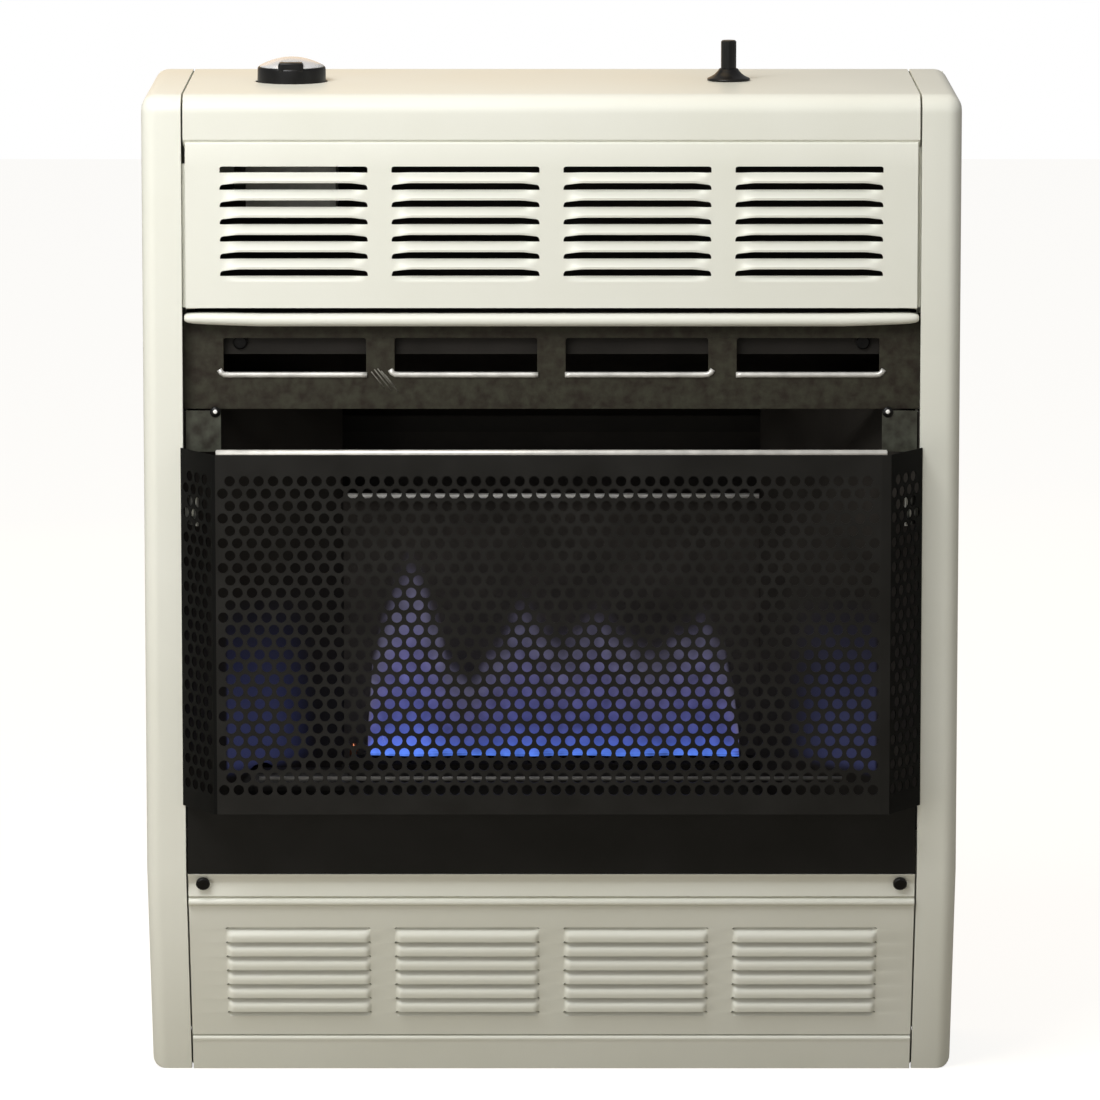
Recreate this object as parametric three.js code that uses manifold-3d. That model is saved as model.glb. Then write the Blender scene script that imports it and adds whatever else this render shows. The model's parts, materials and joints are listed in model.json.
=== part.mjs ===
// Vent-free blue flame room heater: a painted sheet steel casing with pressed louvres, a black firebox
// behind a perforated guard, a slotted burner, and a thermostat knob and push igniter on the top.
// Millimetres, +X to the right seen from the front, +Y towards the wall, +Z up.
// The origin is on the floor, in the middle of the whole heater's width and depth.

import * as THREE from "three";
import { mergeGeometries, mergeVertices } from "three/addons/utils/BufferGeometryUtils.js";
import Module from "manifold-3d";

const wasm = await Module();
wasm.setup();

// Driving dimensions of the casing
const casingWidth = 540;
const casingHeight = 667;
const casingDepth = 190;
const sheet = 1.2;
const topBend = 12.5;
const sideBend = 10;
const kneeHeight = 146.3;
const kneeAngle = THREE.MathUtils.degToRad(23);
const frontFlange = 27;
const rearFlange = 20;

// Driving dimensions of the front, from the top down and from the knee up
const topCoverFront = 29.5;
const panelGap = 1.5;
const upperPanelHeight = 109.7;
const headerShadow = 2.7;
const headerHeight = 8.6;
const hoodDrop = 57.2;
const heatOutletHeight = 22.4;
const guardStandOff = 35;
const hoodDepth = 10;
const skirtHeight = 46.7;
const sillSlope = 25;
const kickHeight = 25.25;

// Driving dimensions of the firebox, burner and controls
const fireboxSideSlant = 101.5;
const fireboxFloorDrop = 17;
const burnerX = 2;
const burnerWidth = 36;
const burnerRise = 36.5;
const knobInset = 69.1;
const knobDepth = 101;
const igniterInset = 124.4;
const igniterDepth = 105;

// Clearances: an open seam between painted panels, a close fit, how far a cut runs past, vertex welding
const seam = 0.6;
const fit = 0.3;
const overrun = 4;
const weld = 0.0001;

// Facet counts of bends, holes, turned pieces and pipes
const bendSteps = 3;
const holeSides = 16;
const turnedSides = 24;
const pipeSides = 8;

// Places that follow from the driving dimensions
const frontY = guardStandOff - (casingDepth + guardStandOff) / 2;
const backY = frontY + casingDepth;
const insideBackY = backY - sheet;
const insideHalf = casingWidth / 2 - sheet;
const openingHalf = casingWidth / 2 - frontFlange;
const panelHalf = openingHalf - seam;
const rearPanelHalf = casingWidth / 2 - rearFlange - seam;
const footY = frontY + kneeHeight * Math.tan(kneeAngle);
const lowerPanelSlope = (kneeHeight - kickHeight) / Math.cos(kneeAngle) - sillSlope;
const topCoverLow = casingHeight - topCoverFront;
const upperPanelLow = topCoverLow - panelGap - upperPanelHeight;
const headerHigh = upperPanelLow - headerShadow;
const headerLow = headerHigh - headerHeight;
const hoodLow = headerLow - hoodDrop;
const guardTop = hoodLow - heatOutletHeight;
const skirtTop = kneeHeight + skirtHeight;
const fireboxFloor = skirtTop - fireboxFloorDrop;
const floorTop = fireboxFloor + sheet;
const burnerTop = fireboxFloor + burnerRise;
const fireboxBackHalf = openingHalf - fireboxSideSlant;
const knobX = knobInset - openingHalf;
const igniterX = openingHalf - igniterInset;

// Depths of the pipe and lead lanes from the knob's axis, which the valve, burner and firebox follow
const burnerLaneOffset = -17;
const pilotLaneOffset = -5;
const probeLaneOffset = 3;
const electrodeLaneOffset = 12;
const supplyLaneOffset = 23;
const valveDepth = 62;
const portLength = 8;
const capillaryRun = 6;
const pilotPlateFront = 9;
const bracketFoot = 6;
const bracketGap = 1;
const electrodeToBack = 12;
const burnerLane = knobDepth + burnerLaneOffset;
const pilotDepth = knobDepth + pilotLaneOffset;
const probeDepth = knobDepth + probeLaneOffset;
const electrodeDepth = knobDepth + electrodeLaneOffset;
const supplyLane = knobDepth + supplyLaneOffset;
const capillaryLane = knobDepth + valveDepth / 2 + portLength + capillaryRun;
const burnerDepth = pilotDepth - pilotPlateFront - bracketGap - bracketFoot - burnerWidth / 2;
const fireboxDepth = electrodeDepth + electrodeToBack;

// How far back a piece lies, as a place on the Y axis
function behind(depth) {
  return frontY + depth;
}

// Colours and finishes
const finishes = {
  cream: { color: 0xe4e0d0, roughness: 0.42, metalness: 0 },
  black: { color: 0x1b1a18, roughness: 0.38, metalness: 0.1 },
  guardBlack: { color: 0x262421, roughness: 0.5, metalness: 0.2 },
  galvanised: { color: 0x9da0a0, roughness: 0.45, metalness: 0.9 },
  burnerSteel: { color: 0x6f6a64, roughness: 0.5, metalness: 0.85 },
  casting: { color: 0xa9a7a5, roughness: 0.55, metalness: 0.8 },
  brass: { color: 0xb5934a, roughness: 0.35, metalness: 1 },
  aluminiumTube: { color: 0xb9bbbd, roughness: 0.35, metalness: 1 },
  copper: { color: 0xb4714a, roughness: 0.35, metalness: 1 },
  blackPlastic: { color: 0x17161a, roughness: 0.35, metalness: 0 },
  silverFoil: { color: 0xcfd0d2, roughness: 0.3, metalness: 0.7 },
  ceramic: { color: 0xe9e4da, roughness: 0.4, metalness: 0 },
  leadSleeve: { color: 0x2b2b2d, roughness: 0.6, metalness: 0 },
  screwBlack: { color: 0x121212, roughness: 0.35, metalness: 0.5 },
};

// A closed geometry as a solid that can be cut and joined; a profile drawn the other way is turned round.
function solidFrom(geometry) {
  geometry.deleteAttribute("normal");
  geometry.deleteAttribute("uv");
  const merged = mergeVertices(geometry, weld);
  const index = merged.index.array;
  const corners = [];
  for (let i = 0; i < index.length; i += 3) {
    const [a, b, c] = [index[i], index[i + 1], index[i + 2]];
    if (a !== b && b !== c && c !== a) corners.push(a, b, c);
  }
  const vertProperties = merged.getAttribute("position").array;
  const triVerts = new Uint32Array(corners);
  const made = new wasm.Manifold(new wasm.Mesh({ numProp: 3, vertProperties, triVerts }));
  if (made.volume() > 0) return made;
  return new wasm.Manifold(new wasm.Mesh({ numProp: 3, vertProperties, triVerts: triVerts.reverse() }));
}

function geometryFrom(solid) {
  const mesh = solid.getMesh();
  const geometry = new THREE.BufferGeometry();
  geometry.setAttribute("position", new THREE.BufferAttribute(mesh.vertProperties.slice(), 3));
  geometry.setIndex(new THREE.BufferAttribute(mesh.triVerts.slice(), 1));
  geometry.computeVertexNormals();
  return geometry;
}

function add(group, name, solid, finish, place = [0, 0, 0]) {
  const mesh = new THREE.Mesh(geometryFrom(solid), new THREE.MeshStandardMaterial(finishes[finish]));
  mesh.name = name;
  mesh.position.set(...place);
  group.add(mesh);
}

// A block between two places on each axis, given in either order
function blockGeometry([xa, xb], [ya, yb], [za, zb]) {
  const geometry = new THREE.BoxGeometry(Math.abs(xb - xa), Math.abs(yb - ya), Math.abs(zb - za));
  return geometry.translate((xa + xb) / 2, (ya + yb) / 2, (za + zb) / 2);
}

function block(xs, ys, zs) {
  return solidFrom(blockGeometry(xs, ys, zs));
}

// Many solids that lie apart, as one
function together(geometries) {
  return solidFrom(mergeGeometries(geometries));
}

const axisX = new THREE.Vector3(1, 0, 0);
const axisY = new THREE.Vector3(0, 1, 0);
const axisZ = new THREE.Vector3(0, 0, 1);

// An outline in (y, z) drawn out along X, in (x, z) along Y, and in (x, y) along Z
function prismXGeometry(shape, [xa, xb]) {
  const settings = { depth: Math.abs(xb - xa), bevelEnabled: false, curveSegments: bendSteps };
  const turn = new THREE.Matrix4().makeBasis(axisY, axisZ, axisX).setPosition(Math.min(xa, xb), 0, 0);
  return new THREE.ExtrudeGeometry(shape, settings).applyMatrix4(turn);
}

function prismX(shape, xs) {
  return solidFrom(prismXGeometry(shape, xs));
}

function prismY(shape, [ya, yb]) {
  const settings = { depth: Math.abs(yb - ya), bevelEnabled: false, curveSegments: bendSteps };
  const turn = new THREE.Matrix4().makeBasis(axisX, axisZ, axisY.clone().negate());
  turn.setPosition(0, Math.max(ya, yb), 0);
  return solidFrom(new THREE.ExtrudeGeometry(shape, settings).applyMatrix4(turn));
}

function prismZ(shape, [za, zb]) {
  const settings = { depth: Math.abs(zb - za), bevelEnabled: false, curveSegments: bendSteps };
  return solidFrom(new THREE.ExtrudeGeometry(shape, settings).translate(0, 0, Math.min(za, zb)));
}

// The cut edge of folded sheet: a line of points, thickened to its left, or to its right if negative
function folded(points, thickness) {
  const line = points.map(([a, b]) => new THREE.Vector2(a, b));
  const normals = line.slice(1).map((point, i) => {
    const along = point.clone().sub(line[i]).normalize();
    return new THREE.Vector2(-along.y, along.x);
  });
  const far = line.map((point, i) => {
    const before = normals[Math.max(i - 1, 0)];
    const after = normals[Math.min(i, normals.length - 1)];
    const mitre = before.clone().add(after).normalize();
    const reach = thickness / mitre.dot(after);
    return point.clone().add(mitre.multiplyScalar(reach));
  });
  return new THREE.Shape([...line, ...far.reverse()]);
}

function polygon(points) {
  return new THREE.Shape(points.map(([a, b]) => new THREE.Vector2(a, b)));
}

// Round bars along each axis, placed by the other two coordinates
function rodZ(radius, x, y, [za, zb], sides = holeSides) {
  const geometry = new THREE.CylinderGeometry(radius, radius, Math.abs(zb - za), sides);
  return solidFrom(geometry.rotateX(Math.PI / 2).translate(x, y, (za + zb) / 2));
}

function rodX(radius, y, z, [xa, xb], sides = holeSides) {
  const geometry = new THREE.CylinderGeometry(radius, radius, Math.abs(xb - xa), sides);
  return solidFrom(geometry.rotateZ(Math.PI / 2).translate((xa + xb) / 2, y, z));
}

function rodYGeometry(radius, x, z, [ya, yb], sides = holeSides) {
  const geometry = new THREE.CylinderGeometry(radius, radius, Math.abs(yb - ya), sides);
  return geometry.translate(x, (ya + yb) / 2, z);
}

function rodY(radius, x, z, ys, sides = holeSides) {
  return solidFrom(rodYGeometry(radius, x, z, ys, sides));
}

// A profile of radius and height turned about the Z axis
function turned(profile, sides = turnedSides) {
  const points = profile.map(([radius, height]) => new THREE.Vector2(radius, height));
  return solidFrom(new THREE.LatheGeometry(points, sides).rotateX(Math.PI / 2));
}

// A pipe bent along straight runs, with rounded corners
const mostBendShare = 0.45;

function pipe(corners, radius, bend, stepLength) {
  const points = corners.map((corner) => new THREE.Vector3(...corner));
  const path = new THREE.CurvePath();
  let from = points[0];
  for (let i = 1; i < points.length - 1; i += 1) {
    const before = points[i].clone().sub(points[i - 1]);
    const after = points[i + 1].clone().sub(points[i]);
    const reach = Math.min(bend, before.length() * mostBendShare, after.length() * mostBendShare);
    const start = points[i].clone().sub(before.normalize().multiplyScalar(reach));
    const end = points[i].clone().add(after.normalize().multiplyScalar(reach));
    path.add(new THREE.LineCurve3(from, start));
    path.add(new THREE.QuadraticBezierCurve3(start, points[i], end));
    from = end;
  }
  path.add(new THREE.LineCurve3(from, points[points.length - 1]));
  const section = new THREE.Shape();
  for (let i = 0; i < pipeSides; i += 1) {
    const turn = (2 * Math.PI * i) / pipeSides;
    const [a, b] = [radius * Math.cos(turn), radius * Math.sin(turn)];
    if (i === 0) section.moveTo(a, b);
    else section.lineTo(a, b);
  }
  const steps = Math.ceil(path.getLength() / stepLength);
  return solidFrom(new THREE.ExtrudeGeometry(section, { steps, extrudePath: path, bevelEnabled: false }));
}

const heater = new THREE.Group();
const casing = new THREE.Group();
const lowerFront = new THREE.Group();
const firebox = new THREE.Group();
const burner = new THREE.Group();
const controls = new THREE.Group();
const pipework = new THREE.Group();
heater.add(casing, firebox, burner, controls, pipework);
casing.add(lowerFront);
lowerFront.position.set(0, frontY, kneeHeight);
lowerFront.rotation.x = kneeAngle;

// The casing's outer form, moved inwards by an inset: round along the top front and both sides,
// and sloping back below the knee. It runs past the back and the floor, where the panels are cut off.
function casingForm(inset) {
  const kneeZ = kneeHeight + inset * Math.tan(kneeAngle / 2);
  const front = frontY + inset;
  const top = casingHeight - inset;
  const bend = topBend - inset;
  const edge = sideBend - inset;
  const past = sideBend + overrun;
  const outline = new THREE.Shape();
  outline.moveTo(backY + past, -past);
  outline.lineTo(backY + past, top);
  outline.lineTo(front + bend, top);
  outline.absarc(front + bend, top - bend, bend, Math.PI / 2, Math.PI, false);
  outline.lineTo(front, kneeZ);
  outline.lineTo(front + (kneeZ + past) * Math.tan(kneeAngle), -past);
  const straight = casingWidth - 2 * sideBend;
  const settings = {
    depth: straight,
    bevelEnabled: true,
    bevelThickness: edge,
    bevelSize: edge,
    bevelOffset: -edge,
    bevelSegments: bendSteps,
    curveSegments: bendSteps,
  };
  const turn = new THREE.Matrix4().makeBasis(axisY, axisZ, axisX).setPosition(-straight / 2, 0, 0);
  return solidFrom(new THREE.ExtrudeGeometry(outline, settings).applyMatrix4(turn));
}

const wholeForm = casingForm(0);
const insideForm = casingForm(sheet + fit);
const pastFront = frontY - overrun;
const pastTop = casingHeight + overrun;
const pastSide = casingWidth / 2 + overrun;
const casingShell = wholeForm
  .subtract(casingForm(sheet))
  .intersect(block([-pastSide, pastSide], [pastFront, backY], [0, pastTop]));

// One side of the casing: skin, rear flange against the wall and foot flange on the floor
function sidePanel(side) {
  const flangeXs = [side * (casingWidth / 2 - rearFlange), side * insideHalf];
  return casingShell
    .intersect(block([side * openingHalf, side * pastSide], [pastFront, backY], [0, pastTop]))
    .add(block(flangeXs, [insideBackY, backY], [0, casingHeight - sheet]))
    .add(block(flangeXs, [footY, backY], [0, sheet]))
    .intersect(wholeForm);
}

// Knob and igniter openings in the top cover
const knobRadius = 23;
const knobHoleClearance = 1.2;
const buttonRadius = 5.15;
const buttonHoleClearance = 1.2;

function topCover() {
  const skinXs = [-panelHalf, panelHalf];
  const holeZs = [casingHeight - topBend, pastTop];
  return casingShell
    .intersect(block(skinXs, [pastFront, backY], [topCoverLow, pastTop]))
    .subtract(rodZ(knobRadius + knobHoleClearance, knobX, behind(knobDepth), holeZs, turnedSides))
    .subtract(rodZ(buttonRadius + buttonHoleClearance, igniterX, behind(igniterDepth), holeZs));
}

// Pressed louvres, in four groups across a sheet whose face is at y = 0 and whose low edge is at z = 0. The
// sheet between two slots is turned like a slat: its lip stands proud below and its upper edge goes inside.
// Below the lowest slot only the panel's own edge goes in, and above the highest one the edge stays flat.
const louvreGroups = 4;
const louvreMargin = 24.7;
const louvreTopMargin = 10;
const louvreGap = 15.8;
const louvreSpan = 2 * (openingHalf - louvreMargin);
const slotLength = (louvreSpan - (louvreGroups - 1) * louvreGap) / louvreGroups;
const groupPitch = slotLength + louvreGap;
const firstSlot = 20.1;
const slotHeight = 5.2;
const slotPitch = 11.4;
const lipRise = 1.2;
const lipProud = 3;
const slatRecess = 3;
const slatCrown = 1;

function louvredSheet(height) {
  const windows = [];
  const slats = [];
  const slatHeight = slotPitch - slotHeight;
  const windowLow = firstSlot - slatHeight / 2;
  const rows = Math.floor((height - firstSlot - slotHeight - louvreTopMargin) / slotPitch) + 1;
  const highestSlot = firstSlot + (rows - 1) * slotPitch;
  for (let group = 0; group < louvreGroups; group += 1) {
    const middle = (group - (louvreGroups - 1) / 2) * groupPitch;
    const xs = [middle - slotLength / 2, middle + slotLength / 2];
    const slatXs = [xs[0] - sheet, xs[1] + sheet];
    const windowZs = [windowLow, highestSlot + slotHeight - lipRise];
    windows.push(blockGeometry(xs, [-overrun, sheet + overrun], windowZs));
    const edge = [
      [0, windowLow - sheet],
      [0, windowLow],
      [slatRecess, firstSlot],
    ];
    slats.push(prismXGeometry(folded(edge, -sheet), slatXs));
    for (let row = 1; row < rows; row += 1) {
      const slotLow = firstSlot + row * slotPitch;
      const slat = [
        [-lipProud, slotLow - slatHeight],
        [-slatCrown, slotLow - slatHeight / 2],
        [slatRecess, slotLow],
      ];
      slats.push(prismXGeometry(folded(slat, -sheet), slatXs));
    }
  }
  return block([-panelHalf, panelHalf], [0, sheet], [0, height])
    .subtract(together(windows))
    .add(together(slats));
}

// The rounded cream rail above the hood, folded from sheet and open at the back
const headerProud = 2;
const headerToHood = 1;
const headerDepth = hoodDepth - headerToHood;

function headerRail() {
  const nose = (headerHigh - headerLow) / 2;
  const noseY = frontY - headerProud + nose;
  const line = [[behind(headerDepth), headerLow]];
  for (let i = 0; i <= 2 * bendSteps; i += 1) {
    const turn = -Math.PI / 2 - (Math.PI * i) / (2 * bendSteps);
    line.push([noseY + nose * Math.cos(turn), headerLow + nose + nose * Math.sin(turn)]);
  }
  line.push([behind(headerDepth), headerHigh]);
  return prismX(folded(line, -sheet), [-panelHalf, panelHalf]);
}

// The sill above the lower louvres: shelf, sloping face, groove and proud bead. Its frame is the slope's.
const sillShelf = 20;
const grooveDepth = 1.8;
const grooveHeight = 2.5;
const beadProud = 1.5;
const beadHeight = 4.4;
const beadReturn = 3;
const sillFace = sillSlope - seam - beadHeight - grooveHeight;
const screwShank = 1.8;
const screwHead = 4.7;
const screwHeadHeight = 2.4;
const screwLength = 8;
const sillScrewInset = 9.9;
const sillScrewGap = 0.5;
const sillScrewX = panelHalf - sillScrewInset;
const shelfUnderside = screwLength * Math.tan(kneeAngle) + sheet / Math.cos(kneeAngle);
const sillScrewSlope = shelfUnderside + screwShank + sillScrewGap;

function sillRail() {
  const grooveLow = sillFace + grooveHeight;
  const line = [
    [sillShelf * Math.cos(kneeAngle), -sillShelf * Math.sin(kneeAngle)],
    [0, 0],
    [0, -sillFace],
    [grooveDepth, -sillFace],
    [grooveDepth, -grooveLow],
    [-beadProud, -grooveLow],
    [-beadProud, -sillSlope + seam],
    [beadReturn, -sillSlope + seam],
  ];
  let rail = prismX(folded(line, sheet), [-panelHalf, panelHalf]);
  for (const side of [-1, 1]) {
    const through = [-overrun, sheet + overrun];
    rail = rail.subtract(rodY(screwShank + fit, side * sillScrewX, -sillScrewSlope, through));
  }
  return rail;
}

// The plain kick rail at the foot, with a flange on the floor
const kickFlange = 18;

function kickRail() {
  return casingShell
    .intersect(block([-panelHalf, panelHalf], [pastFront, backY], [0, kickHeight]))
    .add(block([-panelHalf, panelHalf], [footY, footY + kickFlange], [0, sheet]))
    .intersect(wholeForm);
}

// A pan head screw whose head stands on y = 0 towards the front
function panScrew() {
  const crown = screwHeadHeight / 3;
  return turned([
    [0, screwHeadHeight],
    [screwHead - crown, screwHeadHeight],
    [screwHead, screwHeadHeight - crown],
    [screwHead, 0],
    [screwShank, 0],
    [screwShank, -screwLength],
    [0, -screwLength],
  ], holeSides);
}

function addScrew(group, name, place) {
  add(group, name, panScrew(), "screwBlack", place);
  group.children[group.children.length - 1].rotation.x = Math.PI / 2;
}

// Back panel: two keyholes to hang it on the wall, and the gas inlet's opening
const keyholeInset = 123;
const keyholeDrop = 48;
const keyholeX = openingHalf - keyholeInset;
const keyholeZ = casingHeight - keyholeDrop;
const keyholeHead = 7;
const keyholeSlot = 3.5;
const keyholeRise = 14;
const regulatorInset = 53;
const regulatorToBack = 66;
const regulatorX = regulatorInset - openingHalf;
const regulatorDepth = casingDepth - regulatorToBack;
const regulatorZ = 95;
const inletRadius = 9;
const inletHoleClearance = 3;

function backPanel() {
  const through = [insideBackY - overrun, backY + overrun];
  let panel = block(
    [-rearPanelHalf, rearPanelHalf],
    [insideBackY, backY],
    [0, casingHeight - sheet - fit],
  );
  for (const side of [-1, 1]) {
    const x = side * keyholeX;
    const slotZs = [keyholeZ, keyholeZ + keyholeRise];
    panel = panel
      .subtract(rodY(keyholeHead, x, keyholeZ, through))
      .subtract(block([x - keyholeSlot, x + keyholeSlot], through, slotZs))
      .subtract(rodY(keyholeSlot, x, keyholeZ + keyholeRise, through));
  }
  return panel.subtract(rodY(inletRadius + inletHoleClearance, regulatorX, regulatorZ, through));
}

function basePan() {
  const ys = [footY + kickFlange + seam, insideBackY - fit];
  return block([-rearPanelHalf, rearPanelHalf], ys, [0, sheet]);
}

add(casing, "left_side_panel", sidePanel(-1), "cream");
add(casing, "right_side_panel", sidePanel(1), "cream");
add(casing, "top_cover", topCover(), "cream");
add(casing, "upper_louvre_panel", louvredSheet(upperPanelHeight), "cream", [
  0,
  frontY,
  upperPanelLow,
]);
add(casing, "header_rail", headerRail(), "cream");
add(casing, "kick_rail", kickRail(), "cream");
add(casing, "back_panel", backPanel(), "black");
add(casing, "base_pan", basePan(), "galvanised");
add(lowerFront, "sill_rail", sillRail(), "cream");
add(lowerFront, "lower_louvre_panel", louvredSheet(lowerPanelSlope - seam), "cream", [
  0,
  0,
  seam - sillSlope - lowerPanelSlope,
]);
addScrew(lowerFront, "sill_screw_left", [-sillScrewX, -fit, -sillScrewSlope]);
addScrew(lowerFront, "sill_screw_right", [sillScrewX, -fit, -sillScrewSlope]);

// Black hood: a plate with one outlet window under each louvre group, a flange below and a fold at each end
const hoodSideGap = 12;
const hoodTuck = 1.6;
const windowRise = 22;
const windowHeight = 25.3;
const hoodFlange = 26;
const corridorWidth = 32.8;
const fireboxTop = hoodLow - hoodTuck;
const hoodHalf = casingWidth / 2 - hoodSideGap;
const hoodHigh = headerHigh - hoodTuck;
const windowLow = hoodLow + windowRise;
const windowHigh = windowLow + windowHeight;
const deflectorHalf = insideHalf - corridorWidth;

function hood() {
  const backOfFront = behind(sheet + fit);
  const plateYs = [behind(hoodDepth), behind(hoodDepth) + sheet];
  const windows = [];
  for (let group = 0; group < louvreGroups; group += 1) {
    const middle = (group - (louvreGroups - 1) / 2) * groupPitch;
    const xs = [middle - slotLength / 2, middle + slotLength / 2];
    const ys = [behind(hoodDepth) - overrun, behind(hoodDepth) + sheet + overrun];
    windows.push(blockGeometry(xs, ys, [windowLow, windowHigh]));
  }
  let plate = block([-hoodHalf, hoodHalf], plateYs, [hoodLow, hoodHigh]).subtract(together(windows));
  const flangeYs = [behind(hoodDepth), behind(hoodDepth) + hoodFlange];
  plate = plate.add(block([-deflectorHalf, deflectorHalf], flangeYs, [hoodLow, hoodLow + sheet]));
  for (const side of [-1, 1]) {
    const foldXs = [side * hoodHalf, side * (hoodHalf - sheet)];
    plate = plate.add(block(foldXs, [backOfFront, plateYs[1]], [hoodLow, hoodHigh]));
  }
  return plate.intersect(insideForm);
}

// Heat deflector: the firebox's roof, sloping from behind the hood over the walls down to the back panel
const hoodToDeflector = 6;
const deflectorLipHeight = 25;
const deflectorClearance = 6.4;
const deflectorFold = 12;
const hoodScrewInset = 37;
const hoodScrewDrop = 17;
const deflectorFront = hoodDepth + hoodToDeflector;
const deflectorHigh = hoodHigh - 2 * hoodTuck;
const deflectorLip = deflectorHigh - deflectorLipHeight;
const deflectorRun = casingDepth - sheet - fit - deflectorFront;
const deflectorDrop = deflectorHigh - fireboxTop - deflectorClearance;
const deflectorRear = deflectorHigh - (deflectorDrop * deflectorRun) / (fireboxDepth - deflectorFront);
const hoodScrewX = openingHalf - hoodScrewInset;
const hoodScrewZ = deflectorHigh - hoodScrewDrop;

function heatDeflector() {
  const line = [
    [behind(deflectorFront), deflectorLip],
    [behind(deflectorFront), deflectorHigh],
    [insideBackY - fit, deflectorRear],
    [insideBackY - fit, deflectorRear - deflectorFold],
  ];
  let plate = prismX(folded(line, -sheet), [-deflectorHalf, deflectorHalf]);
  const through = [behind(deflectorFront) - overrun, behind(deflectorFront) + sheet + overrun];
  for (const side of [-1, 1]) {
    plate = plate.subtract(rodY(screwShank + fit, side * hoodScrewX, hoodScrewZ, through));
  }
  return plate;
}

// Firebox side walls: a flange behind the casing's front, then a wall running in to the back corner
const wallFlangeDepth = 6;
const mixerRadius = 11;
const bellRadius = 14;
const mixerRise = 20;
const leadNotchHeight = 14;
const leadNotchMargin = 6;
const mixerZ = fireboxFloor + mixerRise;
const leadNotchDepths = [pilotDepth - leadNotchMargin, electrodeDepth + leadNotchMargin];
const wallSlantShare = (burnerDepth - wallFlangeDepth) / (fireboxDepth - wallFlangeDepth);
const wallAtBurner = -openingHalf + wallSlantShare * fireboxSideSlant;

function fireboxWall(side) {
  const line = [
    [side * hoodHalf, behind(wallFlangeDepth)],
    [side * openingHalf, behind(wallFlangeDepth)],
    [side * fireboxBackHalf, behind(fireboxDepth)],
  ];
  const wall = prismZ(folded(line, -side * sheet), [floorTop + fit, fireboxTop]);
  if (side > 0) return wall;
  const aside = [-openingHalf, -fireboxBackHalf];
  const notchYs = leadNotchDepths.map(behind);
  return wall
    .subtract(rodX(bellRadius + seam, behind(burnerDepth), mixerZ, aside))
    .subtract(block(aside, notchYs, [floorTop - overrun, floorTop + leadNotchHeight]));
}

// Firebox back wall with its top edge folded forward
const backWallDrop = 51.4;
const backWallLip = 8;
const backWallTop = guardTop - backWallDrop;

function fireboxBackWall() {
  const line = [
    [behind(fireboxDepth), floorTop + fit],
    [behind(fireboxDepth), backWallTop],
    [behind(fireboxDepth - backWallLip), backWallTop],
  ];
  const half = fireboxBackHalf - fit;
  return prismX(folded(line, -sheet), [-half, half]);
}

// Firebox floor, notched at both rear corners for the pipes and the rising air
const floorBehindWall = 3;
const cornerNotchLength = 58;
const floorRear = fireboxDepth + floorBehindWall;
const cornerNotchFront = floorRear - cornerNotchLength;
const cornerNotchInner = panelHalf;

function fireboxFloorPlate() {
  const half = insideHalf - fit;
  const zs = [fireboxFloor, floorTop];
  let plate = block([-half, half], [behind(sheet + fit), behind(floorRear)], zs);
  for (const side of [-1, 1]) {
    const xs = [side * cornerNotchInner, side * (half + overrun)];
    const ys = [behind(cornerNotchFront), behind(floorRear + overrun)];
    plate = plate.subtract(block(xs, ys, [fireboxFloor - overrun, floorTop + overrun]));
  }
  return plate.intersect(insideForm);
}

// Glossy skirt under the guard, folded back above and below
const skirtTopFlange = 5;
const skirtLowFlange = 10;

function frontSkirt() {
  const low = kneeHeight + fit;
  const line = [
    [behind(skirtLowFlange), low],
    [frontY, low],
    [frontY, skirtTop],
    [behind(skirtTopFlange), skirtTop],
  ];
  return prismX(folded(line, -sheet), [-panelHalf, panelHalf]);
}

// Guard: its flat front stands out from the casing and a slanted wing runs back on each side. The openings
// are drawn in the sheet's staggered layout, in a coarser pattern of the same share of open area.
const guardLap = 2;
const wingRun = 23;
const guardRaise = 0.4;
const guardHem = 2.4;
const guardMarginTop = 18.7;
const guardMarginLow = 16.4;
const guardMarginSide = 8;
const holePitch = 28.6;
const holeRadius = 10.5;
const holeRowPitch = (holePitch * Math.sqrt(3)) / 2;
const hexagonSides = 6;
const guardBaseHalf = openingHalf + guardLap;
const guardFrontHalf = guardBaseHalf - wingRun;
const guardLow = skirtTop + guardRaise;
const wingSlant = Math.hypot(wingRun, guardStandOff) / guardStandOff;

// Half width across the wings at a distance in front of the casing, an inset inside the outer face
function wingHalf(forward, inset) {
  return guardBaseHalf - inset * wingSlant - (forward * wingRun) / guardStandOff;
}

function guardHoles() {
  const holes = [];
  const ys = [frontY - guardStandOff - overrun, frontY - guardStandOff + overrun];
  const lowest = guardLow + guardMarginLow + holeRadius;
  const highest = guardTop - guardMarginTop - holeRadius;
  const rows = Math.floor((highest - lowest) / holeRowPitch) + 1;
  const start = (lowest + highest - (rows - 1) * holeRowPitch) / 2;
  const reach = guardFrontHalf - guardMarginSide - holeRadius;
  for (let row = 0; row < rows; row += 1) {
    const shift = ((row % 2) * holePitch) / 2;
    const across = Math.floor((reach - shift) / holePitch);
    for (let column = -across - (row % 2); column <= across; column += 1) {
      const x = column * holePitch + shift;
      holes.push(rodYGeometry(holeRadius, x, start + row * holeRowPitch, ys, hexagonSides));
    }
  }
  return together(holes);
}

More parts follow.
